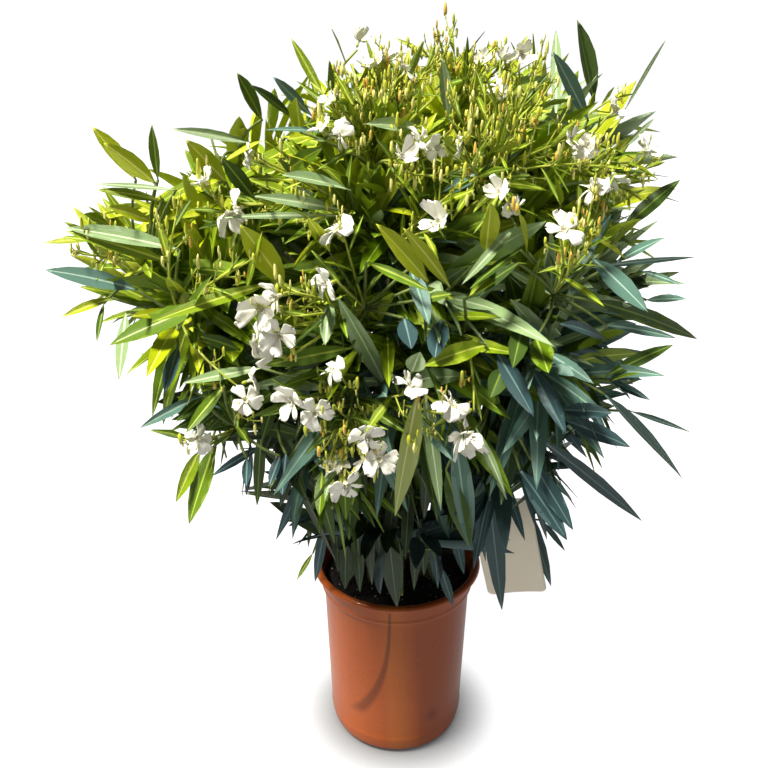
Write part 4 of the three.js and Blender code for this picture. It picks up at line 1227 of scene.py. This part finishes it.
# the compost's own dark brown, made darker still as painted shade under the crown
compost = soilMaterial("potting_mix", (12, 9, 7), (36, 28, 22), 420.0)
declare(meshPiece("soil_bed", *soilBed(), [compost]), "potting_mix", "soil")
for name in ("crumbs", "pale_bits"):
    count, sizes, key, *look = soil[name]
    piece = meshPiece(f"soil_{name}", *crumbs(count, sizes, key), [soilMaterial(*look)], smooth=False)
    declare(piece, "potting_mix")
say("pot and soil")

# tag
tag = {
    "width": 76, "height": 138, "thick": 0.9, "corner": 8, "curl": 3.5, "wave": 1.6, "strap": 8, "eye": 7,
    "eyeThick": 1.1, "eyeSteps": 48, "eyeSides": 12, "strapSteps": 25, "strapColumns": 5,
    "place": (124.0, -124.0, 450.0), "turn": -12, "tilt": -13, "bough": "lower_6", "share": 2 / 3,
    "slack": 12,
}


# closed sheet: a grid of points above, the same grid below it by the thickness, and a wall round the rim
def sheetFaces(rows, columns):
    row, column = np.meshgrid(np.arange(rows - 1), np.arange(columns - 1), indexing="ij")
    corner = (row * columns + column).ravel()
    top = np.stack([corner, corner + 1, corner + columns + 1, corner + columns], 1)
    below = top[:, ::-1] + rows * columns
    last = (rows - 1) * columns
    rim = np.concatenate([np.arange(columns), np.arange(1, rows) * columns + columns - 1,
                          last + np.arange(columns - 2, -1, -1), np.arange(rows - 2, 0, -1) * columns])
    after = np.roll(rim, -1)
    walls = np.stack([after, rim, rim + rows * columns, after + rows * columns], 1)
    return np.concatenate([top, below, walls])


# warm white paper, slightly clouded and fibrous, its colours raised above the card's own cream as painted
# light against the crown's shade
def paperMaterial():
    shader = Shader("tag_paper", Specular_IOR_Level=0.3)
    place = shader.place()
    fibre = shader.noise(place, 700.0, 5.0, 0.7)
    cloud = shader.noise(place, 24.0, 3.0)
    # painted light: the paper's base is whiter than the card's cream
    base = shader.mix(shader.steep(cloud, 0.3, 1.8), colour(248, 236, 212), colour(252, 244, 226))
    shader.feed("Base Color", shader.mix(fibre * 0.3, base, colour(232, 214, 186)))
    shader.feed("Roughness", shader.clamp(fibre * 0.2 + 0.6))
    shader.bump(fibre, 0.0004, 0.5)
    return shader.material


# the card's plane: X across, Y up the card, turned and tilted as the solid is
def tagStance():
    turn, tilt = np.radians(tag["turn"]), np.radians(tag["tilt"])
    aboutZ = np.array([[np.cos(turn), -np.sin(turn), 0], [np.sin(turn), np.cos(turn), 0], [0, 0, 1]])
    aboutY = np.array([[np.cos(tilt), 0, np.sin(tilt)], [0, 1, 0], [-np.sin(tilt), 0, np.cos(tilt)]])
    stand = np.array([[1, 0, 0], [0, 0, -1], [0, 1, 0]])
    return aboutZ @ aboutY @ stand


# a grid of points and the same grid below it by a thickness, with the sheet's faces
def sheet(grid, below):
    top = grid.reshape(-1, 3)
    return np.concatenate([top, top - below]), sheetFaces(*grid.shape[:2])


# the card: rows that narrow round its corners, curled across and waved along
def tagCard():
    corner, half, height = tag["corner"], tag["width"] / 2, tag["height"]
    rounding = corner * (1 - np.cos(np.linspace(0, np.pi / 2, 9)))
    rows = np.concatenate([rounding, np.linspace(corner, height - corner, 30)[1:-1], height - rounding[::-1]])
    edge = np.clip(corner - np.minimum(rows, height - rows), 0, corner)
    reach = half - corner + np.sqrt(np.maximum(corner**2 - edge**2, 0.01))
    x = reach[:, None] * np.linspace(-1, 1, 21)[None]
    z = tag["curl"] * ((x / half) ** 2 - 0.4) + tag["wave"] * np.sin(rows / height * 3.0)[:, None]
    grid = np.stack([x, -rows[:, None] + 0 * x, z + tag["thick"] / 2], -1)
    vertices, faces = sheet(grid, [0, 0, tag["thick"]])
    return vertices @ tagStance().T + np.array(tag["place"]), faces[:, ::-1]


# the strap from the eye round the bough, over a knee, to the middle of the card's upper edge
def tagStrap(middle, tangent):
    stance = tagStance()
    low = stance @ np.array([0, -tag["corner"] / 2, 0]) + np.array(tag["place"])
    outward = low - middle
    outward = unit(outward - tangent * dot(outward, tangent))
    high = middle + outward * tag["eye"]
    strap = raised(high, (high + low) / 2 + up * tag["slack"] + outward * tag["slack"], low)
    shares = np.linspace(0, 1, tag["strapSteps"])
    points, ways = along(strap[None], shares), heads(strap[None], shares)
    side = stance @ np.array([1.0, 0, 0])
    side = unit(side - ways * dot(side, ways))
    normal = np.cross(side, ways)[:, None]
    offsets = np.linspace(-0.5, 0.5, tag["strapColumns"])[None, :, None] * tag["strap"]
    grid = points[:, None] + side[:, None] * offsets + normal * (tag["thick"] / 2)
    return sheet(grid, np.repeat(normal[:, 0], tag["strapColumns"], 0) * tag["thick"])


# the eye: a ring round the bough with a round section
def tagEye(middle, tangent):
    steps, sides = tag["eyeSteps"], tag["eyeSides"]
    turn, tube = (np.linspace(0, 2 * np.pi, count + 1)[:-1, None] for count in (steps, sides))
    first, second = across(tangent)
    outwards = first * np.cos(turn) + second * np.sin(turn)
    section = outwards[:, None] * np.cos(tube) + tangent * np.sin(tube)
    vertices = (middle + outwards * tag["eye"])[:, None] + section * tag["eyeThick"]
    return vertices.reshape(-1, 3), ringWalls(steps + 1, sides)[:, ::-1] % (steps * sides)


paper = paperMaterial()
line = next(mass["bough"] for mass in masses if mass["name"] == tag["bough"])
middle, tangent = along(line, tag["share"]), heads(line, tag["share"])
tagParts = {"card": tagCard(), "strap": tagStrap(middle, tangent), "eye": tagEye(middle, tangent)}
for name, part in tagParts.items():
    declare(meshPiece(f"tag_{name}", *part, [paper]), "tag_paper", "tag")
say("tag")

# flowers and buds
flower = {
    "radius": 20, "tube": 13, "throat": 2.4, "smallest": 0.62, "largest": 0.92,
    "small": 0.72, "smallFrom": 820, "smallOver": 110,      # share of their size that flowers high up have
    "openShare": 0.6, "thick": 0.5, "forward": (0, -0.15, 0.15), "most": 2,
    "tilts": (34, 20), "tiltStray": 46,     # of flowers that share a head, and of single ones
    "petals": 5, "lengths": (0.76, 1.08), "widths": (0.8, 1.1), "swing": 0.4, "overlap": 0.25,
    "fringe": 10,
    # radii and heights of the tube and of the calyx
    "tubeSection": ((0, 1.4, 1.6, 2.0, 3.0, 4.6, 3.8, 1.6, 0), (1, 1, 4, 8, 11.5, 14.2, 13.4, 11, 10)),
    "calyxSection": ((0, 1.3, 2.3, 2.5, 1.9, 0), (-1.5, -1.5, 0.5, 3, 5.5, 5.2)),
    # each form's half width of a petal, and how far petals are skewed, pitched and cupped
    "forms": {"flat": (7.8, 4.5, 16, 4.0), "cupped": (8.2, 3.0, 26, -18.0), "curled": (7.2, 6.5, 32, 20.0),
              "shut": (8.0, 7.0, 34, -38.0)},
}
# heads at the front with one open flower: place in the view
openHeads = [
    (212, 192), (226, 206), (256, 157), (350, 134), (335, 280), (286, 292), (278, 330), (272, 342),
    (284, 360), (396, 163), (437, 139), (452, 146), (416, 144), (384, 72), (396, 80), (345, 240),
    (446, 227), (508, 203), (560, 236), (566, 140), (590, 151), (606, 118), (600, 196), (642, 163),
    (192, 442), (240, 388), (246, 400), (340, 374), (300, 398), (312, 408), (330, 458), (340, 476),
    (372, 430), (358, 452), (376, 462), (402, 395), (444, 414), (460, 424), (474, 410), (470, 428),
    (262, 306), (495, 92), (357, 50), (517, 52), (500, 68), (330, 105), (325, 140), (580, 148),
    (590, 195), (502, 200), (245, 205), (372, 64), (486, 60), (614, 168), (390, 70),
]
# heads at the front with buds alone
budHeads = [
    (352, 64), (379, 54), (397, 70), (422, 48), (452, 30), (441, 46), (432, 62), (472, 62), (492, 58),
    (508, 60), (541, 52), (546, 92), (526, 92), (350, 92), (414, 66), (338, 104), (360, 98), (622, 186),
    (660, 164), (646, 176), (616, 96), (92, 238), (82, 254), (236, 204), (176, 218), (308, 222),
    (408, 164), (432, 176), (476, 130), (462, 164), (268, 166), (590, 212), (576, 240), (470, 182),
    (454, 108), (500, 112), (522, 108), (574, 164), (330, 440), (346, 428), (362, 442), (440, 440),
    (388, 100), (318, 88), (484, 84), (508, 140), (248, 262), (294, 292), (448, 196), (642, 200),
    (205, 186), (300, 316), (432, 100),
]
bract = {
    "count": 7, "shortest": 20, "longest": 62, "shares": (0.15, 0.92), "spreads": (24, 62),
    "slender": (5.2, 8.5), "sizes": (1.1, 0.8), "rows": [0, 2, 4, 6, 7],
    "tints": ("plain", "fresh", "yellowish"), "tintOver": 230,
}
cyme = {
    "stalk": 58, "stalkRange": (0.8, 1.5), "stalkRadius": 1.2, "branches": 6, "branch": 21, "spread": 52,
    "branchRadius": 0.62, "fromShare": 0.45, "step": 0.085, "branchRange": (0.5, 1.4), "rise": 0.22,
    "budsEach": 5, "budLength": 10, "budWidth": 2.8, "budRange": (0.45, 1.35), "stemLength": 5.0,
    "leadLean": 8, "sideLean": 56, "budShare": 0.8, "openBranches": 0.3, "budBranches": 0.72,
    "kindShares": (0.5, 0.88),      # of green buds, and of these and pale ones
    "least": 42, "outward": 0.9, "reach": 0.97,     # how given heads stand off the twigs near by
    "behind": 60,       # the rule's own heads stand from this Y backwards, where no given head shows,
    "below": 0.96,      # and below the skyline
    "backBloom": 2.4,   # how many times more twigs flower there
    "bloomScales": {"main": 1, "side": 1, "late": 0.5, "fine": 0.3},
    "spill": 30, "stray": 1.7,
}


# petal widths: wide quickly, then rounded off past the given share of the run
def petalWidth(run, roundFrom=0.62):
    past = np.clip((run - roundFrom) / (1 - roundFrom), 0, 1)
    return np.clip(0.28 + 1.15 * run - 0.1 * run**2, 0, 1) * np.sqrt(np.clip(1.0001 - past**2.6, 0, 1))


# closed lens from a grid: the rim is shared, and the under side hangs below by the thickness
def petalTemplate(form, wilt, crumple):
    half, skew, pitch, cup = form
    run, cross = np.linspace(0, 1, 8)[:, None], np.linspace(-1, 1, 7)[None]
    ripple = 6.28 * crumple
    radius = (flower["radius"] - flower["throat"]) * run * (1 + 0.07 * np.sin(3.4 * cross + ripple))
    lateral = half * petalWidth(run) * cross + skew * run**2 * (0.6 + 0.4 * cross)
    height = flower["tube"] + 2.6 * np.sin(run * 2.0) - (cup * 0.4 + wilt) * run**2
    height = height + np.tan(np.radians(pitch)) * lateral * (0.5 + 0.5 * run)
    height = height + 1.5 * np.sin(3.8 * cross + 5 * run + ripple) * run
    return sheet(np.stack([flower["throat"] + radius, lateral, height], -1), [0, 0, flower["thick"]])


# one lobe of the fringe in the throat: a point over four corners
def fringeLobe(angle):
    out = np.array([np.cos(angle), np.sin(angle), 0])
    aside = np.cross(up, out) * 0.9
    corners = [out * 3.4 + up * 13.4, out * 2.2 + aside + up * 15.5, out * 4.6 + up * 18.4,
               out * 2.2 - aside + up * 15.5, out * 3.2 + up * 15.0]
    faces = [[0, 1, 2, -1], [0, 2, 3, -1], [2, 1, 4, -1], [3, 2, 4, -1], [1, 0, 4, -1], [0, 3, 4, -1]]
    return np.array(corners), np.array(faces)


# a whole flower about +Z: petals round a tube, a fringe in the throat, and a green calyx
def flowerTemplate(form, key):
    parts = []
    for i in range(flower["petals"]):
        angle = 2 * np.pi * (i + flower["swing"] * (draw(key, i, 86) - 0.5)) / flower["petals"]
        petal, faces = petalTemplate(form, 13 * (draw(key, i, 87) - 0.4), draw(key, i, 99))
        long = between(*flower["lengths"], draw(key, i, 88))
        wide = between(*flower["widths"], draw(key, i, 100))
        turn = np.array([[np.cos(angle), -np.sin(angle), 0], [np.sin(angle), np.cos(angle), 0], [0, 0, 1]])
        parts.append((petal * [long, wide, 1] @ turn.T + up * (flower["overlap"] * (i % 2)), faces))
    sections = [lathe(np.array(flower[name]).T, 10) for name in ("tubeSection", "calyxSection")]
    lobes = [fringeLobe(2 * np.pi * i / flower["fringe"]) for i in range(flower["fringe"])]
    slots = [0] * len(parts) + [1, 2] + [0] * len(lobes)
    parts += sections + lobes
    return *merged(parts), np.repeat(slots, [len(faces) for _, faces in parts])


# templates stood at places, each scaled and turned about its own axis
def stood(template, places, ways, sizes, turns):
    first, second = across(ways)
    turns = np.radians(turns)[:, None]
    cosine, sine = np.cos(turns), np.sin(turns)
    axes = np.stack([first * cosine + second * sine, second * cosine - first * sine, ways], 1)
    axes = axes * (sizes[:, None, :] if sizes.ndim == 2 else sizes[:, None, None])
    return (places[:, None] + np.einsum("vk,nkc->nvc", template, axes)).reshape(-1, 3)


# flowering shoots: those the rule picks, most of them with open flowers and the others with buds
def flowerHeads(shoots, bloomScale):
    mass, order = shoots["mass"], shoots["order"]
    back = along(shoots["curve"], 1)[:, 1] > cyme["behind"]
    share = massValue["bloom"][mass] * bloomScale * np.where(back, cyme["backBloom"], 1)
    chosen = keep(shoots, draw(mass, order, 41) <= share)
    mass, order = chosen["mass"], chosen["order"]
    way = heads(chosen["curve"], 1)
    reach = cyme["stalk"] * between(*cyme["stalkRange"], draw(mass, order, 43))
    curve = growth(along(chosen["curve"], 0.96), way, reach, up * (reach * 0.1)[:, None])
    isOpen = draw(mass, order, 42) < flower["openShare"]
    flowers = np.where(isOpen, 1 + (draw(mass, order, 46) < 0.5), 0)
    return {"curve": curve, "mass": mass, "turn": 90 * draw(mass, order, 44), "flowers": flowers}


# the rule's own heads, where they have room and stand behind the given ones
def ruleHeads():
    found = joined([flowerHeads(allShoots[kind], scale) for kind, scale in cyme["bloomScales"].items()])
    mass = found.pop("mass")
    points = along(found["curve"][:, None], samples[None])
    found = keep(found, hasRoom(points, mass, cyme["spill"], np.full(len(mass), cyme["stray"])))
    ends = along(found["curve"], 1)
    return keep(found, (ends[:, 1] > cyme["behind"]) & (viewShare(ends) < cyme["below"]))


# heads at given places at the front, each on a stalk from a twig near by
def givenHeads():
    places = np.array(openHeads + budHeads, float)
    number = np.arange(len(places))
    curve = reaching(sighted(places, cyme["reach"]), cyme["least"], cyme["outward"])
    return {"curve": curve, "turn": 360 * draw(number, 45), "flowers": (number < len(openHeads)).astype(int)}


bloom = joined([ruleHeads(), givenHeads()])
top, way = along(bloom["curve"], cyme["reach"]), heads(bloom["curve"], 1)
number = np.arange(len(top))
isOpen = bloom["flowers"] > 0

# open flowers: one or two round the top of each open head, tilted outwards, and smaller high up
places, ways, turns, sizes = [], [], [], []
high = np.clip((top[:, 2] - flower["smallFrom"]) / flower["smallOver"], 0, 1)
for i in range(flower["most"]):
    has = bloom["flowers"] > i
    tilt = np.where(bloom["flowers"] == 1, flower["tilts"][1], flower["tilts"][0])
    tilt = tilt + flower["tiltStray"] * draw(number, i, 84)
    out = unit(splayed(way, tilt, 125 * i + bloom["turn"]) + np.array(flower["forward"]))
    size = between(flower["smallest"], flower["largest"], draw(number, i, 83))
    size = size * between(1, flower["small"], high)
    places.append((top + out * between(1, 6, draw(number, i, 85))[:, None])[has])
    ways.append(out[has])
    turns.append((360 * draw(number, i, 82))[has])
    sizes.append(size[has])
places, ways, turns, sizes = (np.concatenate(one) for one in (places, ways, turns, sizes))
say(f"{len(top)} flower heads, {len(places)} open flowers")


# soft skin in one colour, finely crinkled
def petalMaterial(name, base, roughness):
    shader = Shader(name, Base_Color=colour(*base), Roughness=roughness, Sheen_Weight=0.2)
    shader.bump(shader.noise(shader.place(), 500.0, 3.0), 0.0005, 0.4)
    return shader.material


petalLooks = {
    "petal_white": ((244, 242, 226), 0.55), "throat_cream": ((226, 222, 176), 0.6),
    "calyx_green": ((158, 168, 34), 0.55), "bud_green": ((190, 192, 40), 0.5),
    "bud_pale": ((228, 222, 128), 0.5), "bud_amber": ((222, 178, 62), 0.5),
}
petalSkins = {name: petalMaterial(name, *look) for name, look in petalLooks.items()}
flowerSkins = [petalSkins[name] for name in ("petal_white", "throat_cream", "calyx_green")]
kind = (draw(np.arange(len(places)), 89) * len(flower["forms"])).astype(int)
for key, (name, form) in enumerate(flower["forms"].items()):
    template, polygons, index = flowerTemplate(form, key)
    chosen = kind == key
    vertices = stood(template, places[chosen], ways[chosen], sizes[chosen], turns[chosen])
    faces = repeated(polygons, chosen.sum(), len(template))
    piece = meshPiece(f"flowers_{name}", vertices, faces, flowerSkins, np.tile(index, chosen.sum()))
    declare(piece, "greenery", *foliageNodes)

# stalks, their branches and pointed buds in clusters at the tips
branches = [{"curve": bloom["curve"], "radius": np.full(len(top), 1.0)}]
buds = []
for i in range(cyme["branches"] + 1):
    leading = i == cyme["branches"]
    spread = cyme["spread"] * between(0.7, 1.3, draw(number, i, 97))
    root = along(bloom["curve"], cyme["reach"] if leading else cyme["fromShare"] + cyme["step"] * i)
    out = way if leading else splayed(way, spread, 145 * i + bloom["turn"])
    reach = cyme["branch"] * between(*cyme["branchRange"], draw(number, i, 91)) * (0.8 if leading else 1)
    has = draw(number, i, 92) < np.where(isOpen, cyme["openBranches"], cyme["budBranches"])
    curve = growth(root, out, reach, up * (reach * cyme["rise"])[:, None])
    branches.append({"curve": curve[has], "radius": np.full(has.sum(), cyme["branchRadius"])})
    for j in range(cyme["budsEach"]):
        share = 1 - 0.2 * ((j + 1) // 2) - 0.05 * (j % 2)
        lean = cyme["sideLean" if j else "leadLean"] * between(0.5, 1.3, draw(number, i, j, 98))
        budWay = splayed(heads(curve, share), lean, 130 * j + 200 * draw(number, i, 93))
        stem = growth(along(curve, share), budWay, np.full(len(curve), cyme["stemLength"]), up * 0.4)
        scale = between(*cyme["budRange"], draw(number, i, j, 95) ** 2) * (1 if j else 1.1)
        made = {"stem": stem, "place": along(stem, 0.9), "way": heads(stem, 1),
                "size": scale[:, None] * [cyme["budWidth"], cyme["budWidth"], cyme["budLength"]],
                "kind": np.digitize(draw(number, i, j, 96), cyme["kindShares"])}
        buds.append(keep(made, has & (draw(number, i, j, 94) < cyme["budShare"])))
branches, buds = joined(branches), joined(buds)
taper = between(1.15, 0.85, np.linspace(0, 1, 7))
stalks = tubes(branches["curve"], (branches["radius"] * cyme["stalkRadius"])[:, None] * taper, 6)
finer = tubes(buds["stem"], np.full((len(buds["stem"]), 3), cyme["stalkRadius"] * 0.5), 4)
piece = meshPiece("flower_stalks", *merged([stalks, finer]), [petalSkins["calyx_green"]])
declare(piece, "greenery", *foliageNodes)
budProfile = np.array([(0, 0), (0.26, 0), (0.48, 0.14), (0.48, 0.46), (0.26, 0.82), (0, 1)])
template, faces = lathe(budProfile, 6)
vertices = stood(template, buds["place"], buds["way"], buds["size"], 0 * buds["kind"])
budSkins = [petalSkins[name] for name in ("bud_green", "bud_pale", "bud_amber")]
index = np.repeat(buds["kind"], len(faces))
piece = meshPiece("buds", vertices, repeated(faces, len(buds["kind"]), len(template)), budSkins, index)
declare(piece, "greenery", *foliageNodes)
say(f"{len(buds['kind'])} buds")


# small young leaves up the flower stalks, fewer on those with open flowers and sunnier high up
def bracts():
    made = []
    for i in range(bract["count"]):
        share = between(*bract["shares"], (i + draw(number, i, 101)) / bract["count"])
        root, tangent = along(bloom["curve"], share), heads(bloom["curve"], share)
        spread = between(*bract["spreads"], draw(number, i, 102))
        way = splayed(tangent, spread, 140 * i + 90 * draw(number, i, 103))
        length = between(bract["shortest"], bract["longest"], draw(number, i, 104) ** 1.4)
        length = length * between(*bract["sizes"], share)
        tint = 0.9 + (root[:, 2] - heart[2]) / bract["tintOver"] + 2.4 * (draw(number, i, 109) - 0.5)
        slender = between(*bract["slender"], draw(number, i, 108))
        one = {"root": root, "tangent": tangent, "way": way, "length": length, "slender": slender,
               "arch": 0.05 + 0.1 * draw(number, i, 105), "draw": draw(number, i, 106),
               "twist": draw(number, i, 107) - 0.5, "kind": np.clip(tint, 0, 2.9).astype(int)}
        made.append(keep(one, ~isOpen | (i % 2 == 0)))
    return joined(made)


small = bracts()
for kind, name in enumerate(bract["tints"]):
    bladePiece(f"bracts_{name}", keep(small, small["kind"] == kind), bract["rows"], leafMaterials[name])
say(f"{len(small['length'])} young leaves on flower stalks")

# floor, light and camera
stage = {
    "floor": (0.12, 0.12, 0.12, 1.0), "floorRough": 0.8, "floorHalf": 6, "floorGlow": 1.0, "bounce": 0.45,
    "contact": 0.062, "contactShade": (0.03, 0.03, 0.035, 1.0), "contactSharp": 2.7, "contactSamples": 8,
    "sky": 1.05, "fill": 0.15, "skyColour": (0.97, 0.985, 1.0, 1.0),
    "sun": 8.1, "sunAngle": 15, "sunColour": (1.0, 0.97, 0.9), "sunFrom": (-0.46, -0.24, 1.02),
    "sensor": 36,
}


# a floor that glows white to the camera and less to the plant, with a painted contact shadow that darkens its
# glow close to what stands on it
def makeFloor(scene):
    half = stage["floorHalf"]
    mesh = bpy.data.meshes.new("floor")
    corners = [(-half, -half, 0), (half, -half, 0), (half, half, 0), (-half, half, 0)]
    mesh.from_pydata(corners, [], [(0, 1, 2, 3)])
    floor = bpy.data.objects.new("floor", mesh)
    pale = Shader("floor_pale", Base_Color=stage["floor"], Roughness=stage["floorRough"])
    samples, distance = {"samples": stage["contactSamples"]}, {"Distance": stage["contact"]}
    # painted contact shadow: the glow's colour goes to the shade where an occlusion node finds things near by
    near = pale.node("ShaderNodeAmbientOcclusion", samples, distance)
    free = Wire(pale, near.outputs["AO"]) ** stage["contactSharp"]
    pale.feed("Emission Color", pale.mix(free, stage["contactShade"], (1.0, 1.0, 1.0, 1.0)))
    seen = Wire(pale, pale.node("ShaderNodeLightPath").outputs["Is Camera Ray"])
    pale.feed("Emission Strength", seen * (stage["floorGlow"] - stage["bounce"]) + stage["bounce"])
    mesh.materials.append(pale.material)
    scene.collection.objects.link(floor)


# a sky that is bright to the camera and faint to the plant
def makeSky(scene):
    world = bpy.data.worlds.new("studio")
    world.use_nodes = True
    nodes, links = world.node_tree.nodes, world.node_tree.links
    nodes["Background"].inputs[0].default_value = stage["skyColour"]
    seen = nodes.new("ShaderNodeLightPath").outputs["Is Camera Ray"]
    strength = nodes.new("ShaderNodeMath")
    strength.operation = "MULTIPLY_ADD"
    strength.inputs[1].default_value = stage["sky"] - stage["fill"]
    strength.inputs[2].default_value = stage["fill"]
    links.new(seen, strength.inputs[0])
    links.new(strength.outputs[0], nodes["Background"].inputs[1])
    scene.world = world


# a wide sun from the upper left, and the camera at the view's place
def makeStage():
    scene = bpy.context.scene
    makeFloor(scene)
    makeSky(scene)
    lamp = bpy.data.lights.new("sun", "SUN")
    lamp.energy, lamp.angle, lamp.color = stage["sun"], np.radians(stage["sunAngle"]), stage["sunColour"]
    sun = bpy.data.objects.new("sun", lamp)
    sun.rotation_euler = Vector(stage["sunFrom"]).to_track_quat("Z", "Y").to_euler()
    camera = bpy.data.objects.new("camera", bpy.data.cameras.new("camera"))
    camera.location = np.array(view["place"]) / 1000
    camera.rotation_euler = (np.radians(90 - view["down"]), 0, 0)
    camera.data.sensor_width = stage["sensor"]
    camera.data.lens = stage["sensor"] * view["focal"] / (2 * view["middle"])
    scene.collection.objects.link(sun)
    scene.collection.objects.link(camera)
    scene.camera = camera
    scene.view_settings.view_transform = "Standard"


makeStage()
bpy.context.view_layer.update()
say("stage")
